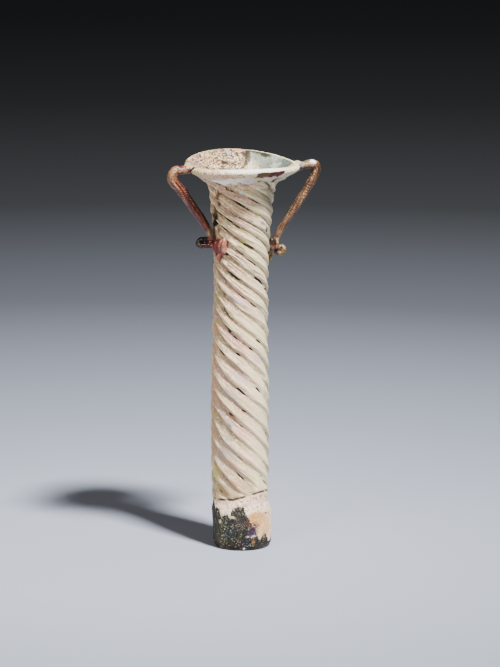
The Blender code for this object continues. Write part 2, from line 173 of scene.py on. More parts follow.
# Stains: azimuth, level, width and height in mm, paint, strength. A few rows, marked below, are painted shade
# and painted light instead. They lie along the ribs on the shaft.
SHAFT_STAINS_AND_SHADE = (
    (-114.0, 126.8, 6.0, 1.8, OLIVE, 0.85),
    (-91.5, 125.2, 1.8, 1.2, PALE_BLUE, 0.9),
    (-72.0, 124.8, 3.6, 1.6, PALE_GREEN, 0.6),
    (-79.0, 122.1, 3.0, 1.0, PINK, 0.8),
    (-57.0, 117.0, 2.0, 1.0, YELLOW_GREEN, 0.9),
    (-71.0, 115.3, 2.2, 1.4, GREY_TEAL, 0.7),
    (-41.0, 114.0, 3.0, 3.0, LAVENDER, 0.7),
    (-25.0, 111.4, 1.6, 1.6, DARK_CHIP, 0.9),
    (-88.0, 113.7, 3.0, 0.9, PINK, 0.8),
    (-129.0, 113.8, 3.0, 4.0, PALE_GREEN, 0.55),
    (-84.0, 107.7, 5.0, 0.9, YELLOW_GREEN, 0.75),
    (-92.0, 106.2, 5.0, 0.7, OLIVE, 0.7),
    (-66.0, 106.4, 2.0, 0.8, PINK, 0.8),
    (-140.0, 123.6, 2.2, 3.6, BROWN, 0.95),
    (-138.0, 120.6, 2.0, 2.4, DARK_CHIP, 0.8),
    (-156.0, 114.6, 3.6, 7.0, DARK_CHIP, 1.0),
    (-145.0, 111.5, 2.0, 2.0, BROWN, 0.8),
    *((-160.0, level, 6.0, 6.0, paint(184, 140, 106), 0.55) for level in range(34, 82, 6)),
    (-150.0, 79.0, 3.0, 4.0, paint(158, 156, 88), 0.60),
    (-148.0, 88.0, 3.0, 8.0, paint(150, 146, 96), 0.6),
    (-152.0, 118.0, 3.0, 6.0, paint(84, 72, 54), 0.8),
    (-158.0, 107.0, 4.0, 6.0, paint(90, 78, 62), 0.7),
    # Grey stains on the left front low down, partly painted shade on the side away from the key light
    (-120.0, 33.0, 11.0, 8.0, paint(166, 148, 138), 0.6),
    (-112.0, 55.0, 9.0, 6.0, paint(170, 152, 140), 0.55),
    (-95.0, 29.0, 9.0, 2.4, paint(172, 156, 154), 0.6),
    (-148.0, 27.0, 6.0, 7.0, YELLOW_GREEN, 0.45),
    (-128.0, 21.0, 7.0, 4.4, paint(160, 138, 92), 0.75),
    (-104.0, 20.2, 12.0, 3.0, paint(168, 142, 108), 0.70),
    (-112.0, 43.5, 5.0, 3.0, paint(150, 142, 138), 0.60),
    (-78.0, 26.5, 8.0, 3.0, paint(206, 170, 142), 0.60),
    (-72.0, 21.8, 12.0, 2.6, paint(168, 144, 112), 0.60),
    (-122.0, 36.0, 6.0, 4.0, paint(168, 148, 132), 0.65),
    (-70.0, 22.5, 7.0, 1.8, paint(190, 170, 140), 0.60),
    (-104.0, 66.0, 6.0, 2.6, paint(160, 140, 124), 0.65),
    (-106.0, 76.0, 6.0, 2.2, paint(168, 148, 130), 0.60),
    (-95.0, 88.0, 9.0, 2.4, LAVENDER, 0.55),
    (-75.0, 80.0, 8.0, 2.6, PINK, 0.60),
    (-50.0, 67.0, 6.0, 4.0, LAVENDER, 0.50),
    (-88.0, 61.0, 7.0, 4.0, LAVENDER, 0.40),
    (-114.0, 39.5, 5.0, 2.6, GREY_TEAL, 0.50),
    (-75.0, 33.0, 7.0, 3.0, PINK, 0.65),
    (-66.0, 26.0, 4.0, 3.0, PALE_GREEN, 0.50),
    (-100.0, 24.0, 5.0, 1.6, TAN, 0.55),
    (-108.0, 47.5, 3.6, 1.2, ORANGE_BROWN, 0.8),
    (-110.0, 31.0, 9.0, 1.8, TAN, 0.6),
    (-90.0, 41.0, 8.0, 2.2, paint(226, 180, 160), 0.6),
    (-96.0, 70.0, 6.0, 2.4, paint(178, 152, 132), 0.7),
    (-112.0, 88.0, 7.0, 2.0, paint(170, 146, 128), 0.6),
    (60.0, 84.0, 9.0, 7.0, PINK, 0.45),
    (130.0, 52.0, 8.0, 12.0, TAN, 0.40),
    (20.0, 40.0, 6.0, 14.0, LAVENDER, 0.35),
    (95.0, 110.0, 10.0, 4.0, OLIVE, 0.40),
)
FOOT_STAINS = (
    (-145.0, 6.5, 6.0, 8.0, paint(40, 44, 18), 0.85),
    (-116.0, 7.4, 5.0, 7.0, paint(14, 34, 34), 0.90),
    (-94.0, 10.4, 5.2, 7.0, paint(46, 38, 42), 0.75),
    (-107.0, 12.0, 2.4, 1.8, paint(214, 210, 160), 0.80),
    (-137.0, 9.8, 2.0, 1.6, paint(220, 206, 164), 0.80),
    (-111.0, 1.9, 8.0, 2.4, paint(32, 16, 8), 0.90),
    (-82.0, 3.0, 3.4, 5.2, BLUE_BLACK, 1.0),
    (-67.0, 3.2, 1.2, 1.2, paint(120, 74, 44), 0.8),
    (-69.0, 5.2, 5.4, 0.8, paint(232, 214, 196), 0.75),
    (-57.0, 11.4, 8.0, 6.6, paint(206, 148, 80), 0.95),
    (-42.0, 8.0, 8.0, 8.6, paint(226, 184, 130), 0.9),
    (-60.0, 8.6, 2.6, 3.0, paint(120, 78, 70), 0.7),
    (-76.0, 9.6, 2.6, 4.0, paint(60, 40, 32), 0.95),
    (-67.0, 8.8, 3.8, 2.6, paint(60, 20, 34), 1.0),
    (-68.5, 6.8, 4.2, 3.4, PURPLE, 1.0),
    (-120.0, 15.4, 7.0, 2.6, paint(255, 226, 206), 0.8),
    (-60.0, 16.6, 9.0, 2.4, paint(255, 230, 214), 0.8),
    (-34.0, 12.8, 1.2, 1.0, DARK_CHIP, 1.0),
    (-86.0, 0.7, 0.8, 0.8, WHITE_CRUST, 0.9),
    (60.0, 8.0, 5.0, 4.0, TAN, 0.5),
    (150.0, 11.0, 4.0, 4.0, OLIVE, 0.6),
)
MOUTH_STAINS = (
    (118.0, 130.7, 3.4, 1.8, paint(60, 50, 30), 0.85),
    (107.0, 132.8, 3.6, 1.6, LAVENDER, 0.8),
    (138.0, 132.0, 9.0, 3.0, TAN, 0.35),
    (96.0, 131.0, 2.6, 3.0, PINK, 0.5),
    (50.0, 132.6, 18.0, 5.8, GREY_TEAL, 0.95),
    (24.0, 133.4, 8.0, 5.0, paint(96, 108, 104), 0.85),
    (50.0, 134.0, 4.0, 1.2, paint(170, 178, 172), 0.7),
    (-40.0, 129.0, 9.0, 7.0, GREY_TEAL, 0.5),
    (78.0, 130.8, 1.2, 3.0, WHITE_CRUST, 0.9),
    (83.0, 133.2, 1.6, 3.0, paint(56, 50, 34), 0.85),
    (88.0, 133.2, 2.4, 2.2, paint(52, 46, 30), 0.70),
    (85.0, 130.8, 1.6, 3.0, paint(46, 42, 26), 0.70),
    (80.0, 132.0, 1.2, 1.6, paint(70, 64, 46), 0.60),
    (68.0, 134.2, 7.5, 2.0, paint(34, 34, 24), 0.95),
    (92.0, 134.7, 4.0, 0.9, paint(46, 42, 26), 0.80),
    (52.0, 131.6, 5.0, 2.4, paint(120, 126, 116), 0.60),
    (36.0, 132.2, 4.0, 1.6, paint(210, 212, 204), 0.60),
)
LIP_STAINS_AND_LIGHT = (
    (-58.0, 131.9, 11.6, 4.4, PALE_EDGE, 0.8),
    (-139.0, 132.7, 2.4, 2.6, YELLOW_GREEN, 0.40),
    (-105.0, 131.2, 9.0, 1.2, TAN, 0.50),
    (-85.0, 129.8, 8.0, 3.0, LAVENDER, 0.55),
    (-66.0, 129.0, 2.4, 0.9, BROWN, 0.8),
    (-43.0, 129.3, 1.8, 1.6, paint(70, 40, 30), 1.0),
    (-80.0, 134.0, 26.0, 2.8, WHITE_CRUST, 0.85),
    # Painted light on the funnel just under the front lip, where the lip's own shadow falls
    (-104.0, 129.4, 20.0, 3.4, paint(255, 244, 230), 0.88),
    (-116.0, 130.2, 3.0, 0.8, TAN, 0.6),
    (-97.0, 128.9, 3.4, 0.9, paint(226, 180, 168), 0.8),
    (-84.0, 129.4, 3.4, 1.2, paint(190, 172, 198), 0.7),
    (180.0, 134.5, 2.4, 2.0, BROWN, 0.6),
    (-32.0, 132.5, 2.0, 3.0, PALE_BLUE, 0.6),
    (75.0, 131.0, 14.0, 5.0, PINK, 0.5),
    (140.0, 131.0, 10.0, 4.0, TAN, 0.45),
)

# Lower edge of the pale crust on the foot, round the foot: azimuth and level in mm
CRUST_EDGE = (
    (-180.0, 16.6),
    (-161.0, 16.2),
    (-153.0, 14.8),
    (-144.0, 14.2),
    (-133.0, 12.2),
    (-113.0, 12.2),
    (-105.0, 14.8),
    (-83.0, 15.2),
    (-78.0, 12.4),
    (-72.0, 10.2),
    (-64.0, 8.4),
    (-60.0, 5.2),
    (-52.0, 4.6),
    (-42.0, 5.6),
    (-24.0, 2.9),
    (15.0, 4.4),
    (60.0, 7.2),
    (110.0, 10.5),
    (150.0, 13.0),
    (180.0, 16.6),
)

# Stains of the handles: out and level in mm, turn in degrees, size in mm, paint, strength. One spot on the
# right handle, marked below, is a painted highlight.
LEFT_SPOTS = (
    (19.4, 134.2, 0.0, 1.6, paint(196, 176, 156), 0.6),
    (20.4, 132.4, 0.0, 2.0, paint(124, 78, 52), 0.8),
    (24.2, 134.0, -4.0, 2.8, paint(134, 100, 72), 0.95),
    (25.6, 131.0, 0.0, 2.6, paint(122, 88, 62), 0.85),
    (23.8, 127.6, 0.0, 1.8, paint(134, 94, 68), 0.6),
    (21.6, 124.0, -3.0, 1.4, paint(150, 112, 86), 0.6),
    (17.8, 117.5, 0.0, 3.4, paint(74, 18, 16), 0.9),
    (13.6, 113.2, 0.0, 1.8, paint(88, 26, 20), 0.9),
    (11.4, 110.6, 4.0, 2.2, paint(112, 88, 58), 0.85),
    (12.2, 109.4, -8.0, 1.2, paint(24, 18, 10), 0.9),
    (10.4, 105.4, 17.0, 4.6, paint(84, 30, 27), 0.95),
    (10.6, 108.2, 36.0, 1.8, paint(166, 108, 84), 0.75),
    (10.6, 105.4, 37.0, 1.6, paint(168, 116, 96), 0.70),
    (10.4, 102.4, 26.0, 1.6, paint(150, 86, 66), 0.6),
    (14.8, 108.0, 0.0, 2.8, paint(10, 9, 3), 1.0),
    (15.6, 106.2, 0.0, 2.6, paint(16, 7, 5), 1.0),
    (13.4, 105.4, 4.0, 2.2, paint(44, 10, 9), 1.0),
)
RIGHT_SPOTS_AND_HIGHLIGHT = (
    (20.0, 133.4, 0.0, 2.4, paint(172, 158, 152), 0.9),
    (22.6, 133.6, 0.0, 1.6, paint(98, 90, 56), 0.8),
    # Painted highlight on the right handle's top corner
    (25.3, 135.0, -4.0, 2.0, paint(226, 206, 196), 1.0),
    (26.6, 132.6, 0.0, 1.6, paint(116, 78, 54), 0.7),
    (24.4, 128.6, -4.0, 1.2, paint(170, 134, 104), 0.6),
    (20.5, 122.5, 0.0, 2.4, paint(84, 56, 38), 0.6),
    (16.4, 113.6, 0.0, 2.0, paint(70, 50, 34), 0.6),
    (18.2, 117.4, -6.0, 0.9, paint(150, 122, 98), 0.5),
    (13.8, 108.2, 0.0, 2.0, paint(104, 78, 62), 0.7),
    (12.8, 106.2, -6.0, 1.2, paint(176, 150, 108), 0.85),
    (10.8, 106.4, -12.0, 2.4, paint(34, 14, 9), 1.0),
    (11.2, 104.0, -16.0, 1.0, paint(96, 52, 34), 0.8),
    (11.0, 102.4, -8.0, 1.3, paint(132, 106, 70), 0.8),
    (12.5, 102.7, -6.0, 1.1, paint(22, 11, 12), 1.0),
    (15.4, 103.9, -2.0, 1.0, paint(160, 122, 94), 0.8),
    (15.2, 101.8, 0.0, 1.7, paint(98, 82, 34), 0.9),
    (16.8, 103.0, 0.0, 1.1, paint(84, 40, 26), 0.8),
    (10.8, 99.4, 0.0, 2.0, paint(96, 78, 50), 0.8),
)

# How far the ribs reach up the funnel, and the share of their depth that is left near the foot
RIB_REACH = 0.0042
LOW_RIB_SHARE = 0.74

# Half height of a front streak as a share of its length, and half width in mm
STREAK_RISE = 0.4185
STREAK_HALF_WIDTH_MM = 2.4

# Radii at which stains are laid out inside the mouth and on the lip, and the slant of the shaft's stains
MOUTH_STAIN_RADIUS_MM = 13.5
LIP_STAIN_RADIUS_MM = 18.0
STAIN_SLANT = math.radians(33.0)

# The strip and the chip broken out of the lip, its crack, and the ring etched inside the mouth
STRIP_AZIMUTH = -57.5
STRIP_HALF_TURN = 16.5
STRIP_LEVEL_MM = 131.9
STRIP_HALF_HEIGHT_MM = 1.25
CHIP_AZIMUTH = -39.5
CHIP_LEVEL_MM = 129.0
CRACK_AZIMUTH = -153.0
CRACK_LEVEL_MM = 133.4
RING_AZIMUTH = 148.0
RING_LEVEL_MM = 133.4
RING_RADIUS_MM = 0.95
LIP_BREAK_DEPTH = 0.00045
LIP_CRACK_DEPTH = 0.0008

# Fineness of the turned mesh
BODY_COLUMNS_PER_RIB = 22
FLOOR_STEPS = 6
BORE_ROWS = 24
MOUTH_ROWS = 29
LIP_STEPS = 14
FUNNEL_ROWS = 25
SHAFT_ROWS = 310
FOOT_ROWS = 46
FOOT_EDGE_STEPS = 7

# The handles' skin, their waves and the thickness of their small folded strands
HANDLE_VOXEL = 0.00019
HANDLE_SMOOTHING = 3
COARSE_WAVE = 0.0030
FINE_WAVE = 0.0008
LEFT_KNOB = 0.0034
RIGHT_KNOB = 0.0036
HAIRPIN_THICKNESS = 0.0020
LOOP_THICKNESS = 0.0021
LOOP_POINTS = 10

# The stage
FLOOR_SIZE = 12.0
# Middle and reach of the painted pool of light on the floor, whose colour darkens away from it
LIGHT_POOL_MIDDLE_MM = (-40.0, 0.0, 0.0)
LIGHT_POOL_REACH_MM = 1400.0
CAMERA_AIM = Vector((0.00272, 0.0, 0.07445))
SENSOR_WIDTH_MM = 36.0
KEY_PLACE = (0.53, -0.67, 1.49)
KEY_SIZE = 0.21
KEY_COLOUR = (1.0, 0.98, 0.95)
FILL_PLACE = (-0.75, -1.15, 0.22)
FILL_SIZE = 0.7
FILL_COLOUR = (1.0, 0.95, 0.90)
ROOM_COLOUR = (0.92, 0.85, 0.80, 1.0)

# Inputs of the rib tree: each is a setting of the body, with its words joined by underscores
RIB_INPUTS = (
    "Rib Count",
    "Rib Depth",
    "Crest Place",
    "Rib Roundness",
    "Unevenness",
    "Wander",
    "Drift",
    "Streak Depth",
    "Crust Depth",
    "Pit Depth",
    "Wrinkle Depth",
    "Seed",
)


def ease(low, high, value):
    """0 below low, 1 above high, and a smooth rise between them."""
    share = min(max((value - low) / (high - low), 0.0), 1.0)
    return share * share * (3.0 - 2.0 * share)


def outer_radius(level):
    """Radius over the ribs, from the foot up to the shoulder."""
    slim = WAIST_LEVEL + SLIM_LEVEL
    radius = FOOT_RADIUS + (WAIST_RADIUS - FOOT_RADIUS) * ease(WAIST_LEVEL - FOOT_NECK, WAIST_LEVEL, level)
    radius += (BELLY_RADIUS - WAIST_RADIUS) * ease(WAIST_LEVEL, WAIST_LEVEL + BELLY_RISE, level)
    radius += (SLIM_RADIUS - BELLY_RADIUS) * ease(WAIST_LEVEL + BELLY_END, slim, level)
    flare = min(max((level - slim) / (SHOULDER_LEVEL - slim), 0.0), 1.0)
    return radius + (SHOULDER_RADIUS - SLIM_RADIUS) * flare ** FLARE_POWER


def bore_radius(level):
    """Radius of the hollow inside."""
    return outer_radius(level) - CAD_RIB_DEPTH - WALL


def turns_below_shoulder(level):
    """How far the ribs have turned about the axis on their way down from the shoulder, in turns."""
    depth = min(max((SHOULDER_LEVEL - level) / SHAFT_HEIGHT, 0.0), 1.0)
    turns = 0.0
    for (start, upper), (end, lower) in zip(LEADS, LEADS[1:]):
        part = min(max(depth - start, 0.0), end - start)
        slope = (1.0 / lower - 1.0 / upper) / (end - start)
        turns += SHAFT_HEIGHT * (part / upper + 0.5 * slope * part * part)
    return turns


def waist_line(azimuth):
    """Level in mm at which the ribs end and the foot's crust begins: it climbs at the front right."""
    near = 0.5 + 0.5 * math.cos(math.radians(azimuth - WAIST_PEAK))
    return WAIST_LEVEL / MM + 0.2 + WAIST_CLIMB_MM * near ** 3


def rib_window(level, start=WAIST_LEVEL):
    """1 where the ribs stand at full depth. They soften low down and run out at the waist and the funnel."""
    low = ease(start, start + RIB_FADE, level)
    low *= LOW_RIB_SHARE + (1.0 - LOW_RIB_SHARE) * ease(0.030, 0.100, level)
    return low * (1.0 - ease(SHOULDER_LEVEL + 0.25 * RIB_REACH, SHOULDER_LEVEL + 1.2 * RIB_REACH, level))


def rib_turn(level, region):
    """How far a ring is turned about the axis, in radians. The inside turns with the funnel's top."""
    if region in ("shaft", "foot", "under"):
        return RIB_START + math.tau * turns_below_shoulder(level)
    above = RIB_REACH
    if region == "funnel":
        above = min(max(level - SHOULDER_LEVEL, 0.0), RIB_REACH)
    return RIB_START - math.tau * above / LEADS[0][1]


def sway(level):
    """Sideways shift of the tube's centre."""
    low = ease(0.25 * FOOT_HEIGHT, WAIST_LEVEL + RIB_FADE, level)
    return -SWAY * low * (1.0 - ease(WAIST_LEVEL + BELLY_END, RIM_LEVEL, level))


def rim_rise(angle, level):
    """How far the uneven mouth stands above its mean level."""
    pulled = RIM_PULL * math.cos(2.0 * (angle - HANDLE_TURN))
    tipped = RIM_TIP * math.cos(angle - RIM_TIP_TOWARDS)
    return (tipped - pulled) * ease(SHOULDER_LEVEL - MOUTH_HEIGHT, RIM_LEVEL, level)


def placed(radius, angle, level):
    """Point of the flask's own bowed and uneven form, from its plain turned form."""
    x = radius * math.cos(angle) + sway(level)
    return Vector((x, radius * math.sin(angle), level + rim_rise(angle, level)))


def mouth_wall(share):
    """Point and outward normal on the middle of the funnel's wall, with half the wall's thickness."""
    outer = outer_radius(SHOULDER_LEVEL)
    inner = bore_radius(SHOULDER_LEVEL)
    start = Vector((0.5 * (outer + inner), SHOULDER_LEVEL))
    end = Vector((RIM_RADIUS - 0.5 * LIP_THICKNESS, LIP_LEVEL))
    knee = Vector((start.x + MOUTH_KNEE * (end.x - start.x), start.y + MOUTH_CURVE * (end.y - start.y)))
    point = start * (1 - share) ** 2 + knee * 2 * share * (1 - share) + end * share * share
    along = ((knee - start) * (1 - share) + (end - knee) * share).normalized()
    half = 0.5 * ((outer - inner) * (1 - share) + LIP_THICKNESS * share)
    return point, Vector((along.y, -along.x)), half


def section():
    """Stations of the flask's wall, from the middle of its floor over the lip down to its underside.

    Each is (radius, level, region), where region is bore, mouth, lip, funnel, shaft, foot or under.
    """
    floor_radius = bore_radius(FLOOR_THICKNESS + FLOOR_CURVE)
    stations = [(floor_radius * share, FLOOR_THICKNESS, "bore") for share in (0.0, 0.2, 0.4)]
    for step in range(FLOOR_STEPS + 1):
        turn = 0.5 * math.pi * (1.0 - step / FLOOR_STEPS)
        out = floor_radius - FLOOR_CURVE * (1.0 - math.cos(turn))
        stations.append((out, FLOOR_THICKNESS + FLOOR_CURVE * (1.0 - math.sin(turn)), "bore"))
    bore_start = FLOOR_THICKNESS + FLOOR_CURVE
    for step in range(1, BORE_ROWS):
        level = bore_start + (SHOULDER_LEVEL - bore_start) * step / BORE_ROWS
        stations.append((bore_radius(level), level, "bore"))
    for step in range(MOUTH_ROWS + 1):
        point, normal, half = mouth_wall(step / MOUTH_ROWS)
        inner = point - normal * half
        stations.append((inner.x, inner.y, "mouth"))
    centre, normal, half = mouth_wall(1.0)
    start = math.atan2(-normal.y, -normal.x)
    for step in range(1, LIP_STEPS):
        turn = start - math.pi * step / LIP_STEPS
        stations.append((centre.x + half * math.cos(turn), centre.y + half * math.sin(turn), "lip"))
    for step in range(FUNNEL_ROWS + 1):
        point, normal, half = mouth_wall(1.0 - step / FUNNEL_ROWS)
        outer = point + normal * half
        stations.append((outer.x, outer.y, "funnel"))
    for row in range(1, SHAFT_ROWS + 1):
        level = SHOULDER_LEVEL - SHAFT_HEIGHT * row / SHAFT_ROWS
        stations.append((outer_radius(level), level, "shaft"))
    for row in range(1, FOOT_ROWS + 1):
        level = WAIST_LEVEL - (WAIST_LEVEL - FOOT_EDGE) * row / FOOT_ROWS
        stations.append((outer_radius(level), level, "foot"))
    for step in range(1, FOOT_EDGE_STEPS + 1):
        turn = 0.5 * math.pi * step / FOOT_EDGE_STEPS
        out = FOOT_RADIUS - FOOT_EDGE + FOOT_EDGE * math.cos(turn)
        stations.append((out, FOOT_EDGE - FOOT_EDGE * math.sin(turn), "foot"))
    for share in (0.75, 0.5, 0.25, 0.0):
        stations.append(((FOOT_RADIUS - FOOT_EDGE) * share, 0.0, "under"))
    return stations


def crust_edge(azimuth):
    """Level in mm of the lower edge of the pale crust on the foot."""
    for (start, low), (end, high) in zip(CRUST_EDGE, CRUST_EDGE[1:]):
        if start <= azimuth <= end:
            return low + (high - low) * ease(start, end, azimuth)
    return CRUST_EDGE[0][1]


def wrapped(degrees):
    """The same direction between -180 and 180 degrees."""
    return (degrees + 180.0) % 360.0 - 180.0


def laid(layers):
    """Paint and strength of stains laid one over another, from their paints and strengths."""
    colour = Vector((0.0, 0.0, 0.0))
    strength = 0.0
    for tint, here in layers:
        colour = colour * (1.0 - here) + Vector(tint) * here
        strength = 1.0 - (1.0 - strength) * (1.0 - here)
    if strength > 0.0:
        colour = colour / max(strength, 0.0001)
    return colour, strength


def stain_and_light_at(azimuth, level_mm, radius_mm, stains, slant):
    """Paint and strength of the stains, and of the few painted shades and lights among them, at one place.
    slant leans them down to the right, as the ribs run.
    """
    layers = []
    turn = math.radians(azimuth)
    spot = Vector((radius_mm * math.cos(turn), radius_mm * math.sin(turn), level_mm))
    ragged = 1.1 * noise.noise_vector(spot * 0.55) + 0.5 * noise.noise_vector(spot * 1.7)
    for centre, centre_level, width, height, tint, weight in stains:
        small = min(width, height) / 3.0
        across = math.radians(wrapped(azimuth - centre)) * radius_mm + ragged.x * min(small, 1.0)
        up = level_mm - centre_level + ragged.y * min(small, 1.0)
        along = across * math.cos(slant) - up * math.sin(slant)
        over = across * math.sin(slant) + up * math.cos(slant)
        far = math.hypot(along / (0.5 * width), over / (0.5 * height))
        here = weight * (1.0 - ease(0.45, 1.25, far))
        if here > 0.0:
            layers.append((tint, here))
    return laid(layers)


def groove_angle(azimuth, level, count):
    """Azimuth of the groove nearest to a place, in degrees."""
    start = math.degrees(math.tau * turns_below_shoulder(level) + RIB_START)
    step = 360.0 / count
    return start + step * round((azimuth - start) / step)


def streak_marks(count):
    """The front streaks' own grooves: their angle on the straight tube, with the level and half height."""
    marks = []
    for azimuth, level_mm, length_mm in FRONT_STREAKS:
        level = level_mm * MM
        turn = math.degrees(math.tau * turns_below_shoulder(level) + RIB_START)
        straight = wrapped(groove_angle(azimuth, level, count) - turn)
        marks.append((straight, level, STREAK_RISE * length_mm * MM))
    return marks


class Wiring:
    """Adds nodes to a shader or geometry tree and wires them up."""

    def __init__(self, tree):
        self.tree = tree

    def add(self, kind, **settings):
        node = self.tree.nodes.new(kind)
        for name, value in settings.items():
            setattr(node, name, value)
        return node

    def put(self, socket, value):
        if isinstance(value, bpy.types.NodeSocket):
            self.tree.links.new(value, socket)
        elif socket.type == "RGBA":
            socket.default_value = (*value[:3], 1.0)
        else:
            socket.default_value = value

    def math(self, operation, *values, clamp=False):
        node = self.add("ShaderNodeMath", operation=operation, use_clamp=clamp)
        for socket, value in zip(node.inputs, values):
            self.put(socket, value)
        return node.outputs[0]

    def chain(self, operation, values):
        """Join the values one after another."""
        result = values[0]
        for value in values[1:]:
            result = self.math(operation, result, value)
        return result

    def times(self, *values):
        return self.chain("MULTIPLY", values)

    def plus(self, *values):
        return self.chain("ADD", values)

    def minus(self, value, less):
        return self.math("SUBTRACT", value, less)

    def most(self, one, other):
        return self.math("MAXIMUM", one, other)

    def vector(self, operation, *values):
        node = self.add("ShaderNodeVectorMath", operation=operation)
        for socket, value in zip(node.inputs, values):
            self.put(socket, value)
        return node.outputs["Value" if operation == "LENGTH" else "Vector"]

    def scaled(self, vector, factor):
        node = self.add("ShaderNodeVectorMath", operation="SCALE")
        self.put(node.inputs[0], vector)
        self.put(node.inputs["Scale"], factor)
        return node.outputs[0]

    def drawn(self, vector, share):
        """Coordinates in which a texture is drawn out upright: a smaller share draws it out further."""
        return self.vector("MULTIPLY", vector, (1.0, 1.0, share))

    def band(self, value, low, high, to_low=0.0, to_high=1.0):
        """Smooth step of a value from low to high."""
        node = self.add("ShaderNodeMapRange", interpolation_type="SMOOTHSTEP")
        names = ("Value", "From Min", "From Max", "To Min", "To Max")
        for name, entry in zip(names, (value, low, high, to_low, to_high)):
            self.put(node.inputs[name], entry)
        return node.outputs[0]

    def noise(self, vector, scale, detail=3.0, roughness=0.55, distortion=0.0, seed=None):
        node = self.add("ShaderNodeTexNoise", noise_dimensions="3D" if seed is None else "4D")
        self.put(node.inputs["Vector"], vector)
        self.put(node.inputs["Scale"], scale)
        self.put(node.inputs["Detail"], detail)
        self.put(node.inputs["Roughness"], roughness)
        self.put(node.inputs["Distortion"], distortion)
        if seed is not None:
            self.put(node.inputs["W"], seed)
        return node.outputs[0]

    def cells(self, vector, scale):
        """Distance to the nearest of many scattered points."""
        node = self.add("ShaderNodeTexVoronoi")
        self.put(node.inputs["Vector"], vector)
        self.put(node.inputs["Scale"], scale)
        return node.outputs["Distance"]

    def ramp(self, value, stops):
        """Colour along a row of (place, colour) stops."""
        node = self.add("ShaderNodeValToRGB")
        elements = node.color_ramp.elements
        while len(elements) < len(stops):
            elements.new(0.5)
        for element, (place, colour) in zip(elements, stops):
            element.position = place
            element.color = (*colour, 1.0)
        self.put(node.inputs[0], value)
        return node.outputs[0]

    def blend(self, factor, under, over):
        """Colour over laid on colour under."""
        node = self.add("ShaderNodeMix", data_type="RGBA")
        colours = [socket for socket in node.inputs if socket.type == "RGBA"]
        self.put(node.inputs[0], factor)
        self.put(colours[0], under)
        self.put(colours[1], over)
        return node.outputs[2]

    def attribute(self, name, output):
        node = self.add("ShaderNodeAttribute", attribute_name=name)
        return node.outputs[output]

    def field(self, name):
        return self.attribute(name, "Fac")

    def parts(self, vector):
        node = self.add("ShaderNodeSeparateXYZ")
        self.put(node.inputs[0], vector)
        return node.outputs[0], node.outputs[1], node.outputs[2]


def new_material(name):
    """A material with its shader, its wiring and its object coordinates in millimetres."""
    material = bpy.data.materials.new(name)
    material.use_nodes = True
    wiring = Wiring(material.node_tree)
    shader = material.node_tree.nodes["Principled BSDF"]
    place = wiring.add("ShaderNodeTexCoord").outputs["Object"]
    return material, wiring, shader, wiring.scaled(place, 1.0 / MM)


def finish_surface(wiring, shader, colour, roughness, heights):
    """Wire the colour, roughness and a chain of bumps, given as (height, strength, distance in metres)."""
    wiring.put(shader.inputs["Base Color"], colour)
    wiring.put(shader.inputs["Roughness"], roughness)
    normal = None
    for height, strength, distance in heights:
        bump = wiring.add("ShaderNodeBump")
        bump.inputs["Strength"].default_value = strength
        bump.inputs["Distance"].default_value = distance
        wiring.put(bump.inputs["Height"], height)
        if normal is not None:
            wiring.put(bump.inputs["Normal"], normal)
        normal = bump.outputs[0]
    wiring.put(shader.inputs["Normal"], normal)


def rib_share(wiring):
    """In the glass: 0 on a rib's crest and 1 in its groove, and the share of the rib's width from 0 to 1."""
    cosine, sine, groove = wiring.parts(wiring.attribute("rib", "Vector"))
    turn = wiring.math("DIVIDE", wiring.math("ARCTAN2", sine, cosine), math.tau)
    return groove, wiring.math("FRACT", wiring.plus(turn, 1.0))


def share_to_groove(wiring, share, crest):
    """0 at the crest's share of a rib, and 1 at both of its edges."""
    rise = wiring.minus(1.0, wiring.math("DIVIDE", share, crest))
    left = wiring.minus(share, crest)
    fall = wiring.math("DIVIDE", left, wiring.minus(1.0, crest))
    return wiring.most(rise, fall)


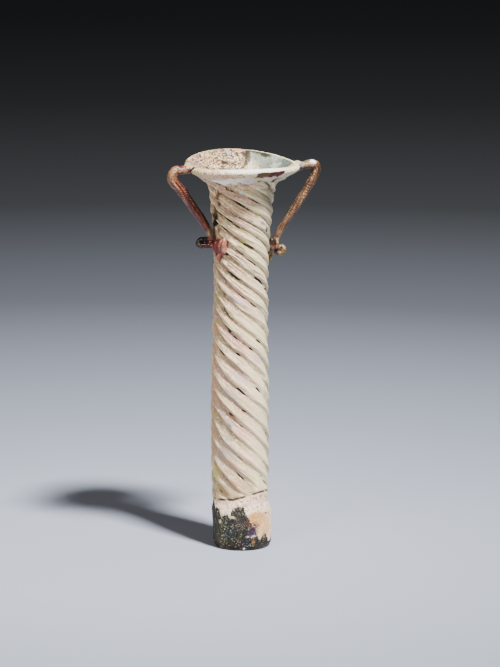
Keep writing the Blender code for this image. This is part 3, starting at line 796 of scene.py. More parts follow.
def rib_tree():
    """Geometry nodes that press the spiral ribs, wear the surface and turn it about the axis."""
    tree = bpy.data.node_groups.new("twisted_ribs", "GeometryNodeTree")
    face = tree.interface
    face.new_socket("Geometry", in_out="OUTPUT", socket_type="NodeSocketGeometry")
    face.new_socket("Geometry", in_out="INPUT", socket_type="NodeSocketGeometry")
    for name in RIB_INPUTS:
        face.new_socket(name, in_out="INPUT", socket_type="NodeSocketFloat")
    face.new_socket("Material", in_out="INPUT", socket_type="NodeSocketMaterial")
    w = Wiring(tree)
    source = w.add("NodeGroupInput").outputs
    sink = w.add("NodeGroupOutput")

    def field(name):
        node = w.add("GeometryNodeInputNamedAttribute", data_type="FLOAT")
        node.inputs["Name"].default_value = name
        return node.outputs[0]

    def keep(geometry, name, kind, value):
        node = w.add("GeometryNodeStoreNamedAttribute", data_type=kind, domain="POINT")
        w.put(node.inputs["Geometry"], geometry)
        node.inputs["Name"].default_value = name
        w.put(node.inputs["Value"], value)
        return node.outputs[0]

    def then(kind, geometry, **inputs):
        node = w.add(kind)
        w.put(node.inputs["Geometry"], geometry)
        for name, value in inputs.items():
            w.put(node.inputs[name], value)
        return node.outputs[0]

    here = w.add("GeometryNodeInputPosition").outputs[0]
    normal = w.add("GeometryNodeInputNormal").outputs[0]
    seed = source["Seed"]
    mm = w.scaled(here, 1.0 / MM)
    stretched = w.drawn(mm, 0.22)
    x, y, z = w.parts(here)
    turn = w.math("ARCTAN2", y, x)
    phase = w.math("DIVIDE", w.times(turn, source["Rib Count"]), math.tau)
    ribbed = field("ribbed")
    wander = w.minus(w.noise(w.drawn(mm, 0.4), 0.34, 3.0, 0.6, seed=seed), 0.5)
    phase = w.plus(phase, w.times(wander, source["Wander"], ribbed))
    share = w.math("FRACT", phase)
    groove = w.math("MINIMUM", share_to_groove(w, share, source["Crest Place"]), 1.0)
    pressed = w.math("POWER", w.most(groove, 0.0), source["Rib Roundness"])
    low = w.band(z, 0.080, 0.035)
    rounded = w.times(w.band(groove, 0.0, 1.0), low)
    pressed = w.plus(w.times(pressed, w.minus(1.0, low)), rounded)
    swell = w.minus(w.noise(stretched, 0.14, 2.0, seed=seed), 0.5)
    depth = w.plus(1.0, w.times(swell, w.times(source["Unevenness"], 3.0)))
    rib = w.times(pressed, depth, w.times(ribbed, source["Rib Depth"]))

    high = w.band(z, 0.070, 0.108)
    streaky = w.noise(w.drawn(mm, 0.40), 0.60, 3.0, 0.6, seed=w.plus(seed, 7.0))
    streaky = w.plus(streaky, w.times(high, 0.07))
    random_streak = w.times(w.band(streaky, 0.585, 0.64), w.band(groove, 0.66, 0.90))
    marked = w.times(field("marks"), w.band(groove, 0.76, 0.92))
    streak = w.times(w.most(random_streak, marked), ribbed)
    sunk_lines = w.most(streak, field("rib_end_shadow_and_ring"))
    lines = w.noise(w.drawn(mm, 0.13), 0.95, 2.0, 0.6, seed=w.plus(seed, 23.0))
    lines = w.times(w.minus(lines, 0.5), w.plus(w.times(high, 0.75), 0.25))
    lines = w.times(lines, ribbed)
    shell = field("shell")
    lumps = w.minus(w.noise(stretched, 0.55, 4.0, 0.6, seed=w.plus(seed, 3.0)), 0.5)
    pits = w.band(w.noise(mm, 1.5, 2.0, 0.5, seed=w.plus(seed, 5.0)), 0.60, 0.72)
    rugged = w.noise(w.drawn(mm, 0.45), 0.9, 4.0, 0.65, seed=w.plus(seed, 11.0))
    crust = w.band(w.plus(field("crust"), w.times(w.minus(rugged, 0.5), 7.0)), -0.3, 0.3)
    bare = w.times(w.minus(1.0, crust), field("footed"))
    pitted = w.most(field("pitted"), 0.25)

    sunk = w.plus(rib, w.times(sunk_lines, source["Streak Depth"]))
    sunk = w.plus(sunk, w.times(bare, source["Crust Depth"]))
    sunk = w.plus(sunk, w.times(pits, pitted, source["Pit Depth"]))
    lumpy = w.times(shell, w.plus(0.00085, w.times(high, 0.00075)))
    sunk = w.plus(sunk, w.times(w.plus(lumps, 0.2), lumpy))
    sunk = w.plus(sunk, w.times(lines, source["Wrinkle Depth"]))
    sunk = w.plus(sunk, field("sunk"))
    sunk = w.times(sunk, field("free"))

    circle = w.add("ShaderNodeCombineXYZ")
    w.put(circle.inputs[0], w.math("COSINE", w.times(share, math.tau)))
    w.put(circle.inputs[1], w.math("SINE", w.times(share, math.tau)))
    w.put(circle.inputs[2], groove)
    geometry = keep(source["Geometry"], "straight", "FLOAT_VECTOR", here)
    geometry = keep(geometry, "rib", "FLOAT_VECTOR", circle.outputs[0])
    geometry = keep(geometry, "streak", "FLOAT", streak)
    geometry = keep(geometry, "bare", "FLOAT", bare)
    geometry = keep(geometry, "pit", "FLOAT", w.times(pits, pitted))
    geometry = then("GeometryNodeSetPosition", geometry, Offset=w.scaled(normal, w.times(sunk, -1.0)))

    drift = w.minus(w.noise(w.drawn(mm, 0.5), 0.11, 1.0, seed=w.plus(seed, 17.0)), 0.5)
    drift = w.times(drift, source["Drift"], ribbed)
    twist = w.add("ShaderNodeVectorRotate", rotation_type="Z_AXIS")
    w.put(twist.inputs["Vector"], w.add("GeometryNodeInputPosition").outputs[0])
    w.put(twist.inputs["Angle"], w.plus(field("turn"), drift))
    geometry = then("GeometryNodeSetPosition", geometry, Position=twist.outputs[0])
    geometry = then("GeometryNodeRealizeInstances", geometry)
    geometry = then("GeometryNodeSetShadeSmooth", geometry)
    w.put(sink.inputs[0], then("GeometryNodeSetMaterial", geometry, Material=source["Material"]))
    return tree


def linked(name, data):
    """A new object in the scene."""
    obj = bpy.data.objects.new(name, data)
    bpy.context.scene.collection.objects.link(obj)
    return obj


def straight_flask(settings):
    """The flask as a plain turned mesh, with the fields that the rib tree and the glass read."""
    stations = section()
    columns = settings.rib_count * BODY_COLUMNS_PER_RIB
    marks = streak_marks(settings.rib_count)
    names = ("turn", "ribbed", "marks", "rib_end_shadow_and_ring", "shell", "crust", "footed", "pitted", "sunk", "free", "inner")
    fields = {name: [] for name in names}
    stains = []
    vertices = []
    rings = []
    for radius, level, region in stations:
        single = radius < 1e-6
        turn = rib_turn(level, region)
        ring = []
        for column in range(1 if single else columns):
            angle = math.tau * column / columns
            azimuth = wrapped(math.degrees(angle + turn))
            level_mm = level / MM
            here = describe(region, azimuth, math.degrees(angle), level, marks)
            fields["turn"].append(turn)
            for name in names[1:]:
                fields[name].append(here[name])
            colour, strength = here["stain_and_light"]
            stains.extend((*colour, strength))
            ring.append(len(vertices))
            vertices.append((radius * math.cos(angle), radius * math.sin(angle), level))
        rings.append(ring)
    faces = []
    for upper, lower in zip(rings, rings[1:]):
        for column in range(columns):
            after = (column + 1) % columns
            if len(upper) == 1:
                faces.append((upper[0], lower[column], lower[after]))
            elif len(lower) == 1:
                faces.append((upper[column], lower[0], upper[after]))
            else:
                faces.append((upper[column], lower[column], lower[after], upper[after]))
    mesh = bpy.data.meshes.new("flask_straight")
    mesh.from_pydata(vertices, [], faces)
    for name in names:
        mesh.attributes.new(name, "FLOAT", "POINT").data.foreach_set("value", fields[name])
    mesh.attributes.new("stain_and_light", "FLOAT_COLOR", "POINT").data.foreach_set("color", stains)
    return linked("flask_glass", mesh)


def describe(region, azimuth, straight, level, marks):
    """What lies at one place of the straight flask: its fields and its stains, painted shade and painted
    light.
    """
    level_mm = level / MM
    here = dict.fromkeys(("ribbed", "marks", "rib_end_shadow_and_ring", "shell", "footed", "pitted", "sunk", "inner"), 0.0)
    here["crust"] = 9.0
    here["free"] = 1.0
    here["stain_and_light"] = (Vector((0.0, 0.0, 0.0)), 0.0)
    radius_mm = outer_radius(min(level, SHOULDER_LEVEL)) / MM
    if region in ("shaft", "foot", "under"):
        waist = waist_line(azimuth)
        here["shell"] = 1.0
        here["footed"] = 1.0 - ease(waist - 0.5, waist + 0.1, level_mm)
        here["crust"] = level_mm - crust_edge(azimuth)
        here["pitted"] = 0.8 * here["footed"]
        # A shallow sunk line where the ribs end over the foot; its colour is a painted shadow under the ribs'
        # ends
        wavy = 0.35 * noise.noise(Vector((azimuth / 14.0, 0.0, 0.5)))
        here["rib_end_shadow_and_ring"] = 1.0 - ease(0.10, 0.80, abs(level_mm - waist - 0.4 - wavy))
        here["rib_end_shadow_and_ring"] *= 0.35 + 0.65 * ease(-0.45, 0.1, noise.noise(Vector((azimuth / 9.0, 4.0, 0.5))))
    if region == "shaft":
        here["ribbed"] = rib_window(level, waist * MM)
        if level_mm > waist:
            here["stain_and_light"] = stain_and_light_at(azimuth, level_mm, radius_mm, SHAFT_STAINS_AND_SHADE, STAIN_SLANT)
        for mark, mark_level, half_height in marks:
            up = abs(level - mark_level)
            across = abs(math.radians(wrapped(straight - mark))) * radius_mm
            if up < half_height and across < STREAK_HALF_WIDTH_MM:
                end = 1.0 - ease(0.55 * half_height, half_height, up)
                here["marks"] = max(here["marks"], end * (1.0 - ease(1.5, STREAK_HALF_WIDTH_MM, across)))
    if region in ("foot", "under") or (region == "shaft" and level_mm <= waist):
        here["stain_and_light"] = stain_and_light_at(azimuth, level_mm, radius_mm, FOOT_STAINS, 0.0)
    if region == "under":
        here["free"] = 0.0
    if region == "foot" and level < FOOT_EDGE:
        here["free"] = ease(0.0, 0.4 * FOOT_EDGE, level)
    if region in ("mouth", "bore"):
        here["inner"] = 1.0
        here["stain_and_light"] = stain_and_light_at(azimuth, level_mm, MOUTH_STAIN_RADIUS_MM, MOUTH_STAINS, 0.0)
        here["pitted"] = ease(SHOULDER_LEVEL - 0.004, SHOULDER_LEVEL + 0.002, level)
        here["pitted"] *= 0.25 + 0.75 * ease(50.0, 66.0, abs(wrapped(azimuth - 25.0)))
        here["rib_end_shadow_and_ring"] = ring_mark(azimuth, level_mm) if region == "mouth" else 0.0
    if region in ("lip", "funnel"):
        here["shell"] = 0.5
        here["ribbed"] = rib_window(level) if region == "funnel" else 0.0
        here["stain_and_light"] = stain_and_light_at(azimuth, level_mm, LIP_STAIN_RADIUS_MM, LIP_STAINS_AND_LIGHT, 0.0)
        broken = broken_lip(azimuth, level_mm, region)
        crack = rim_crack(azimuth, level_mm)
        here["sunk"] = max(LIP_BREAK_DEPTH * broken, LIP_CRACK_DEPTH * crack)
        if broken > 0.3:
            side = ease(-61.0, -57.0, azimuth)
            here["stain_and_light"] = (Vector(BROWN) * (1.0 - side) + Vector(MAROON) * side, 1.0)
        if crack > 0.2:
            here["stain_and_light"] = (Vector(DARK_CHIP), 1.0)
    return here


def broken_lip(azimuth, level_mm, region):
    """1 inside the strip and the chip broken out of the lip's front, with soft edges."""
    if region == "lip" and level_mm > RIM_LEVEL / MM - 0.8:
        return 0.0
    across = wrapped(azimuth - STRIP_AZIMUTH) / STRIP_HALF_TURN
    half_height = STRIP_HALF_HEIGHT_MM + 0.2 * noise.noise(Vector((azimuth / 5.0, 1.0, 0.5)))
    up = (level_mm - STRIP_LEVEL_MM - 0.3 * across) / half_height
    strip = 1.0 - ease(0.85, 1.1, max(abs(across), abs(up)))
    over = level_mm - CHIP_LEVEL_MM
    far = math.hypot(wrapped(azimuth - CHIP_AZIMUTH - 1.2 * over) / 2.6, over / 1.1)
    return max(strip, 1.0 - ease(0.7, 1.1, far))


def rim_crack(azimuth, level_mm):
    """1 inside the wedge-shaped crack beside the left handle's end."""
    over = level_mm - CRACK_LEVEL_MM
    half = 2.8 + 0.6 * over
    across = abs(wrapped(azimuth - CRACK_AZIMUTH - 2.6 * over)) / half
    return (1.0 - ease(0.6, 1.0, across)) * ease(130.6, 131.4, level_mm)


def ring_mark(azimuth, level_mm):
    """1 on the small ring that is etched inside the mouth, and on its middle."""
    across = math.radians(wrapped(azimuth - RING_AZIMUTH)) * 14.8
    far = math.hypot(across, (level_mm - RING_LEVEL_MM) * 1.35)
    return max(1.0 - ease(0.0, 0.30, abs(far - RING_RADIUS_MM)), 1.0 - ease(0.1, 0.35, far))


def body_glass(settings):
    """Pearly weathered glass: layered tints, pale crests that double as a painted highlight, painted shade on
    the rib faces and the left half, painted light on the right half, dark broken grooves and bare glass on
    the foot.
    """
    material, w, shader, mm = new_material("pearly_weathered_glass")
    groove, share = rib_share(w)
    straight = w.scaled(w.attribute("straight", "Vector"), 1.0 / MM)
    along = w.drawn(straight, 0.2)
    ribbed = w.field("ribbed")

    side, _, height = w.parts(mm)
    high = w.band(height, 62.0, 106.0)
    # Painted shade: the left half, away from the key light, is darkened, mixed with a duller soil tint there
    left_shade_and_soil = w.band(side, 4.0, -6.0, 0.30, 1.0)
    broad = w.noise(along, 0.18, 3.0, 0.6, 0.4)
    pearl = w.ramp(broad, (
        (0.32, settings.lavender_tint),
        (0.42, settings.pink_tint),
        (0.50, settings.pearl_tint),
        (0.60, settings.cream_tint),
        (0.70, settings.green_tint),
    ))
    fine = w.noise(along, 1.2, 4.0, 0.7)
    colour = w.blend(w.band(w.noise(along, 0.45, 3.0, 0.6), 0.42, 0.66, 0.0, 0.6), pearl, settings.cream_tint)
    colour = w.blend(w.band(fine, 0.38, 0.58, 0.55, 0.0), colour, settings.shade_and_mottle_tint)
    # Painted shade on the ribs' faces away from their crests, mixed with the crust's dull tan tint
    dusky = w.band(w.noise(along, 0.42, 4.0, 0.65), 0.38, 0.58)
    face = w.most(w.band(share, 0.44, 0.92), w.band(share, 0.20, 0.04))
    shade = w.times(face, ribbed, w.plus(0.30, w.times(dusky, 0.70)))
    colour = w.blend(w.times(shade, left_shade_and_soil), colour, settings.shade_and_mottle_tint)
    striped = w.noise(w.drawn(straight, 0.12), 1.1, 3.0, 0.6)
    stripes = w.times(w.band(striped, 0.48, 0.60), w.times(ribbed, w.plus(high, 0.2)))
    colour = w.blend(w.times(stripes, 0.6), colour, settings.shade_and_mottle_tint)
    # Pale worn crests, which also stand in for the highlight along each crest
    crest = w.times(w.band(share, 0.16, 0.22), w.band(share, 0.38, 0.30))
    crest = w.times(crest, ribbed, w.band(w.noise(along, 0.7, 3.0), 0.30, 0.46))
    colour = w.blend(crest, colour, settings.worn_crest_and_highlight_tint)

    # Painted shade in the broad valleys low down, with a grey tint, stronger on the left half
    valley = w.times(w.band(groove, 0.34, 0.80), w.times(w.band(height, 78.0, 42.0), ribbed))
    valley = w.times(valley, w.band(w.noise(along, 0.5, 3.0, 0.6), 0.36, 0.60, 0.30, 0.95))
    colour = w.blend(w.times(valley, left_shade_and_soil), colour, settings.valley_shade_tint)
    line = w.times(w.band(groove, 0.74, 0.95), ribbed)
    line = w.times(line, w.band(w.noise(along, 0.7, 4.0, 0.65), 0.44, 0.60))
    colour = w.blend(w.times(line, w.plus(0.55, w.times(high, 0.4))), colour, settings.groove_tint)
    mossy = w.times(w.band(groove, 0.45, 0.8), w.band(w.noise(along, 0.35, 3.0, 0.6, 0.2), 0.56, 0.66))
    colour = w.blend(w.times(mossy, ribbed, 0.5), colour, settings.moss_tint)
    porous = w.plus(0.28, w.times(high, 0.55))
    speckle = w.band(w.noise(w.drawn(straight, 0.4), 1.5, 3.0, 0.65), 0.53, 0.61)
    patches = w.band(w.noise(mm, 0.3, 2.0), 0.32, 0.52)
    colour = w.blend(w.times(speckle, porous, patches), colour, settings.speckle_tint)
    # Random mottling, stronger on the left half, where it adds to the painted shade
    mottle = w.band(w.noise(w.drawn(straight, 0.5), 0.9, 5.0, 0.8), 0.46, 0.58, 0.0, 0.62)
    colour = w.blend(w.times(mottle, left_shade_and_soil), colour, settings.shade_and_mottle_tint)
    glints = w.band(w.noise(mm, 1.2, 3.0, 0.75), 0.55, 0.65, 0.0, 0.75)
    colour = w.blend(glints, colour, settings.worn_crest_and_highlight_tint)
    # Painted light: the right half, towards the key light, is lifted towards the pale crest tint
    colour = w.blend(w.band(side, -1.0, 8.5, 0.0, 0.62), colour, settings.worn_crest_and_highlight_tint)

    stain_and_light = w.attribute("stain_and_light", "Color")
    strength = w.attribute("stain_and_light", "Alpha")
    patchy = w.plus(w.noise(along, 1.1, 4.0, 0.7), w.times(strength, 0.45))
    held = w.times(w.math("MULTIPLY", strength, 1.25, clamp=True), w.band(patchy, 0.48, 0.72))

    ragged = w.noise(w.drawn(mm, 0.5), 1.7, 4.0, 0.7)
    bare = w.plus(w.field("bare"), w.times(w.minus(ragged, 0.5), 3.0))
    footed = w.field("footed")
    bare = w.times(w.band(bare, 0.38, 0.62), w.band(footed, 0.1, 0.5))
    hue = w.noise(mm, 0.38, 4.0, 0.62, 0.5)
    dark = w.ramp(hue, (
        (0.32, settings.bare_brown),
        (0.42, settings.bare_olive),
        (0.52, settings.bare_teal),
        (0.60, settings.bare_blue),
        (0.68, settings.bare_violet),
    ))
    dark = w.blend(w.band(height, 5.5, 1.0, 0.0, 0.7), dark, settings.bare_brown)
    flaky = w.ramp(w.noise(mm, 0.42, 4.0, 0.65), (
        (0.34, settings.pink_tint),
        (0.46, settings.flake_tint),
        (0.55, settings.flake_tint),
        (0.66, settings.foot_tan),
    ))
    flaky = w.blend(w.band(w.noise(mm, 1.4, 3.0, 0.7), 0.56, 0.66, 0.0, 0.7), flaky, settings.shade_and_mottle_tint)
    colour = w.blend(footed, colour, flaky)
    colour = w.blend(bare, colour, dark)
    colour = w.blend(held, colour, stain_and_light)
    worn = w.times(footed, w.minus(1.0, bare))
    crusty = w.band(w.noise(mm, 1.3, 4.0, 0.75), 0.49, 0.60, 0.0, 0.80)
    colour = w.blend(w.times(crusty, worn), colour, settings.foot_tan)
    flecks = w.band(w.noise(mm, 1.7, 4.0, 0.75), 0.55, 0.64, 0.0, 0.85)
    colour = w.blend(w.times(flecks, worn), colour, settings.flake_tint)
    deeps = w.band(w.noise(w.drawn(mm, 0.5), 0.9, 4.0, 0.65), 0.50, 0.60, 0.0, 0.85)
    colour = w.blend(w.times(deeps, bare), colour, settings.bare_blue)
    sparks = w.band(w.noise(mm, 2.4, 3.0, 0.7), 0.56, 0.63)
    sparks = w.times(sparks, w.band(w.noise(mm, 0.4, 2.0), 0.42, 0.58, 0.15, 1.0))
    colour = w.blend(w.times(sparks, bare, 0.75), colour, settings.spark_tint)

    pit = w.field("pit")
    inner = w.field("inner")
    colour = w.blend(w.times(w.band(pit, 0.25, 0.7), 0.7), colour, settings.speckle_tint)
    dots = w.band(w.cells(mm, 1.25), 0.56, 0.36)
    crowded = w.band(w.noise(mm, 0.55, 3.0, 0.6), 0.42, 0.52)
    coarse = w.band(w.noise(mm, 0.95, 3.0, 0.7), 0.53, 0.59)
    pores = w.times(w.most(w.times(dots, crowded), coarse), inner)
    pores = w.times(pores, w.field("pitted"))
    colour = w.blend(w.times(pores, 0.90), colour, settings.pore_tint)
    crumbs = w.times(w.band(w.noise(mm, 1.3, 3.0, 0.7), 0.54, 0.62), w.times(inner, 0.6))
    colour = w.blend(crumbs, colour, settings.pore_tint)
    # Darker further down inside the mouth and tube
    deep = w.band(height, 118.0, 130.0, 0.6, 0.0)
    colour = w.blend(w.times(deep, inner), colour, settings.deep_tint)

    grain = w.times(w.minus(fine, 0.5), 0.6)
    # Painted shadow along the line where the ribs end over the foot; the same tint marks the etched ring
    # inside the mouth
    rib_end_shadow_and_ring = w.band(w.plus(w.field("rib_end_shadow_and_ring"), grain), 0.30, 0.85, 0.0, 0.95)
    colour = w.blend(rib_end_shadow_and_ring, colour, settings.waist_shadow_and_ring_tint)
    broken = w.band(w.plus(w.field("streak"), grain), 0.35, 0.6)
    colour = w.blend(broken, colour, settings.streak_tint)

    gloss = w.plus(w.band(fine, 0.3, 0.7, 0.50, 0.38), w.times(held, 0.2))
    shader.inputs["Coat Weight"].default_value = 0.06
    shader.inputs["Coat Roughness"].default_value = 0.22
    shader.inputs["Specular IOR Level"].default_value = 0.24
    heights = (
        (w.noise(along, 1.5, 5.0, 0.75), 0.9, 0.0009),
        (w.noise(mm, 3.4, 3.0, 0.6), 0.6, 0.0003),
    )
    finish_surface(w, shader, colour, gloss, heights)
    return material


def keep_inside(mesh, low, high):
    """Hold every vertex inside a box."""
    for vertex in mesh.vertices:
        for axis in range(3):
            vertex.co[axis] = min(max(vertex.co[axis], low[axis]), high[axis])


def set_inputs(modifier, values):
    """Give a geometry nodes modifier its inputs by their sockets' identifiers."""
    for item in modifier.node_group.interface.items_tree:
        if item.item_type == "SOCKET" and item.in_out == "INPUT" and item.name in values:
            modifier[item.identifier] = values[item.name]


def evaluated_mesh(obj):
    """A plain mesh of what an object shows with its modifiers or its bevel."""
    graph = bpy.context.evaluated_depsgraph_get()
    return bpy.data.meshes.new_from_object(obj.evaluated_get(graph))


def solidified(obj, name):
    """A plain mesh object from an object with live modifiers, which is removed."""
    mesh = evaluated_mesh(obj)
    mesh.name = name
    result = linked(name, mesh)
    bpy.data.objects.remove(obj)
    return result


def dress(obj, node):
    """Put a finished piece in the place of its CAD node."""
    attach(obj, "root")
    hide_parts(node)


def handle_angle(side):
    """Direction of a handle about the axis: side is 1 for the right one and -1 for the left one."""
    return HANDLE_TURN if side > 0 else HANDLE_TURN + math.pi


def trail_mesh(name, side, route, thickness):
    """A bent trail through points of (out, level, share of the thickness, turn), as a mesh with caps."""
    obj = trail_curve(name, side, route, 0.5 * thickness)
    mesh = evaluated_mesh(obj)
    bpy.data.objects.remove(obj)
    return mesh


def trail_curve(name, side, route, radius):
    """A curve object through a handle's points, thick if it has a radius."""
    curve = bpy.data.curves.new(name, "CURVE")
    curve.dimensions = "3D"
    curve.bevel_depth = radius
    curve.bevel_resolution = 6
    curve.resolution_u = 12
    curve.use_fill_caps = True
    spline = curve.splines.new("BEZIER")
    spline.bezier_points.add(len(route) - 1)
    for point, (out, level, share, turn) in zip(spline.bezier_points, route):
        point.co = placed(out, handle_angle(side) + turn, level)
        point.handle_left_type = "AUTO"
        point.handle_right_type = "AUTO"
        point.radius = share
    return linked(name, curve)


def mark_flow(obj, side, route):
    """Store where each vertex lies in the trail, so that streaks run along it."""
    guide = trail_curve("guide", side, route, 0.0)
    mesh = evaluated_mesh(guide)
    bpy.data.objects.remove(guide)
    points = [vertex.co.copy() for vertex in mesh.vertices]
    bpy.data.meshes.remove(mesh)
    lengths = [0.0]
    for before, after in zip(points, points[1:]):
        lengths.append(lengths[-1] + (after - before).length)
    finder = kdtree.KDTree(len(points))
    for index, point in enumerate(points):
        finder.insert(point, index)
    finder.balance()
    flow = []
    for vertex in obj.data.vertices:
        centre, index, _ = finder.find(vertex.co)
        offset = (vertex.co - centre) / MM
        flow.extend((offset.x, offset.y, offset.z + 0.16 * lengths[index] / MM))
    obj.data.attributes.new("flow", "FLOAT_VECTOR", "POINT").data.foreach_set("vector", flow)


def mark_stains_and_highlight(obj, side, spots_and_highlight):
    """Paint a handle's stains and any painted highlight, each given as (out, level, turn, size, paint,
    strength).
    """
    marks = []
    for out, level_mm, turn, size, tint, weight in spots_and_highlight:
        centre = placed(out * MM, handle_angle(side) + math.radians(turn), level_mm * MM)
        marks.append((centre, size * MM, tint, weight))
    values = []
    for vertex in obj.data.vertices:
        place = vertex.co + 0.0006 * noise.noise_vector(vertex.co / 0.0014)
        layers = []
        for centre, size, tint, weight in marks:
            here = weight * (1.0 - ease(0.55, 1.2, (place - centre).length / size))
            if here > 0.0:
                layers.append((tint, here))
        colour, strength = laid(layers)
        values.extend((*colour, strength))
    obj.data.attributes.new("stain_and_light", "FLOAT_COLOR", "POINT").data.foreach_set("color", values)


def lump_mesh(angle, out, level, size, taper=0.0, blunt=0.0, fan=0.0):
    """A lump of glass pressed round the flask: size is its depth, width and height in metres.

    taper narrows it downwards, blunt squares it, and fan lowers it towards the side where angles are smaller.
    """
    shape = bmesh.new()
    bmesh.ops.create_uvsphere(shape, u_segments=32, v_segments=20, radius=1.0)
    for vertex in shape.verts:
        depth, width, height = vertex.co
        fuller = max(1.0 - depth * depth, 0.05) ** (-0.5 * blunt)
        height *= (1.0 - fan * 0.5 * (1.0 - width)) * fuller
        width *= (1.0 - taper * 0.5 * (1.0 - height)) * fuller
        turn = angle + 0.5 * size[1] * width / out
        vertex.co = placed(out + 0.5 * size[0] * depth, turn, level + 0.5 * size[2] * height)
    mesh = bpy.data.meshes.new("lump")
    shape.to_mesh(mesh)
    shape.free()
    return mesh


def melted(name, meshes):
    """Join closed meshes into one skin, as glass melts together, and smooth it."""
    joined = bmesh.new()
    for mesh in meshes:
        joined.from_mesh(mesh)
        bpy.data.meshes.remove(mesh)
    bmesh.ops.remove_doubles(joined, verts=joined.verts, dist=0.00001)
    bmesh.ops.recalc_face_normals(joined, faces=joined.faces)
    mesh = bpy.data.meshes.new(name)
    joined.to_mesh(mesh)
    joined.free()
    obj = linked(name, mesh)
    remesh = obj.modifiers.new("Melt", "REMESH")
    remesh.mode = "VOXEL"
    remesh.voxel_size = HANDLE_VOXEL
    remesh.use_smooth_shade = True
    smooth = obj.modifiers.new("Flow", "SMOOTH")
    smooth.factor = 0.5
    smooth.iterations = HANDLE_SMOOTHING
    return solidified(obj, name)


def knead(obj, moves):
    """Move every vertex along its normal by the sum of the moves, which read its place."""
    offsets = []
    for vertex in obj.data.vertices:
        offsets.append(vertex.normal * sum(move(vertex.co) for move in moves))
    for vertex, offset in zip(obj.data.vertices, offsets):
        vertex.co += offset
    obj.data.update()


def uneven(feature, amount, seed):
    """A move that swells and sinks the surface gently, with features of a given size."""
    shift = Vector((seed * 3.1, seed * 1.7, seed * 2.3))
    return lambda place: amount * noise.fractal(place / feature + shift, 0.6, 2.0, 3)


def strut(foot, head, shares):
    """Points between the lower and the upper end of a handle's slanting part."""
    points = []
    for out_share, up_share, thick in shares:
        out = foot[0] + out_share * (head[0] - foot[0])
        points.append((out, foot[1] + up_share * (head[1] - foot[1]), thick, 0.0))
    return points


def polar(place):
    """Angle about the tube's own middle in radians, distance from it and level of a place."""
    x = place.x - sway(place.z)
    return math.atan2(place.y, x), math.hypot(x, place.y), place.z


def left_nicks(place):
    """Upright nicks that the tool left in the left pad."""
    angle, _, level = polar(place)
    pad = RIM_LEVEL - LEFT_SPAN
    along = wrapped(math.degrees(angle - handle_angle(-1) - LEFT_PAD_TURN))
    inside = ease(-24.0, -14.0, along) * (1.0 - ease(20.0, 30.0, along))
    inside *= ease(pad - 0.5 * LEFT_PAD_HEIGHT, pad - 0.3 * LEFT_PAD_HEIGHT, level)
    inside *= 1.0 - ease(pad + 0.35 * LEFT_PAD_HEIGHT, pad + 0.55 * LEFT_PAD_HEIGHT, level)
    wave = math.sin(math.radians(along * 34.0 + 40.0 * math.sin(level * 900.0)))
    return -0.00022 * inside * max(wave, 0.0)


def left_tail_crease(place):
    """The fold between the two strands of the left tail."""
    _, out, level = polar(place)
    pad = RIM_LEVEL - LEFT_SPAN
    tube = outer_radius(pad)
    middle = pad + 0.34 * LEFT_PAD_HEIGHT
    inside = ease(tube + 0.0012, tube + 0.0022, out) * (1.0 - ease(tube + 0.0052, tube + 0.0064, out))
    return -0.0005 * inside * (1.0 - ease(0.0, 0.0007, abs(level - middle)))


def left_route(settings):
    """The left trail from the rim down to the top of its pad."""
    half = 0.5 * settings.left_thickness
    pad = RIM_LEVEL - LEFT_SPAN
    tube = outer_radius(pad)
    head = (LEFT_REACH - 0.02 * half, LIP_LEVEL - 1.8 * half)
    foot = (tube + LEFT_STANDOFF, pad + 0.78 * LEFT_PAD_HEIGHT)
    route = [
        (RIM_RADIUS - half, LIP_LEVEL - 0.2 * half, 0.90, 0.0),
        (RIM_RADIUS + 0.40 * (LEFT_REACH - RIM_RADIUS), LIP_LEVEL - 0.2 * half, 0.88, 0.0),
        (LEFT_REACH - 0.40 * half, LIP_LEVEL - 0.5 * half, 1.0, 0.0),
        (*head, 1.06, 0.0),
    ]
    route += strut(foot, head, ((0.78, 0.79, 1.02), (0.36, 0.38, 0.95), (0.10, 0.12, 0.82)))
    route.append((tube + 0.6 * half, pad + 0.42 * LEFT_PAD_HEIGHT, 0.60, 0.4 * LEFT_PAD_TURN))
    return route


def make_left_meshes(settings):
    """The left handle's trail, its knob on the rim, its fan-shaped pad and its folded tail."""
    pad = RIM_LEVEL - LEFT_SPAN
    tube = outer_radius(pad)
    fold = pad + 0.29 * LEFT_PAD_HEIGHT
    hairpin = [
        (tube + 0.0004, fold + 0.0007, 1.0, 0.0),
        (tube + 0.0030, fold + 0.0009, 1.05, 0.0),
        (tube + 0.0050, fold + 0.0007, 1.05, 0.0),
        (tube + 0.0055, fold - 0.0001, 1.05, 0.0),
        (tube + 0.0049, fold - 0.0009, 1.05, 0.02),
        (tube + 0.0028, fold - 0.0009, 1.05, 0.06),
        (tube + 0.0004, fold - 0.0010, 1.05, 0.12),
    ]
    angle = handle_angle(-1)
    fan = angle + LEFT_PAD_TURN
    return [
        trail_mesh("left_trail", -1, left_route(settings), settings.left_thickness),
        trail_mesh("left_hairpin", -1, hairpin, HAIRPIN_THICKNESS),
        lump_mesh(angle, RIM_RADIUS + 0.0001, LIP_LEVEL - 0.0002, (LEFT_KNOB, LEFT_KNOB, LEFT_KNOB)),
        lump_mesh(fan, tube, pad + 0.0010, (0.0026, 0.0084, 0.0084), blunt=0.2, fan=0.75),
        lump_mesh(fan + 0.34, tube + 0.0002, pad + 0.0016, (0.0024, 0.0014, 0.0066)),
        lump_mesh(fan + 0.10, tube, pad - 0.0016, (0.0022, 0.0034, 0.0044), taper=0.6),
    ]


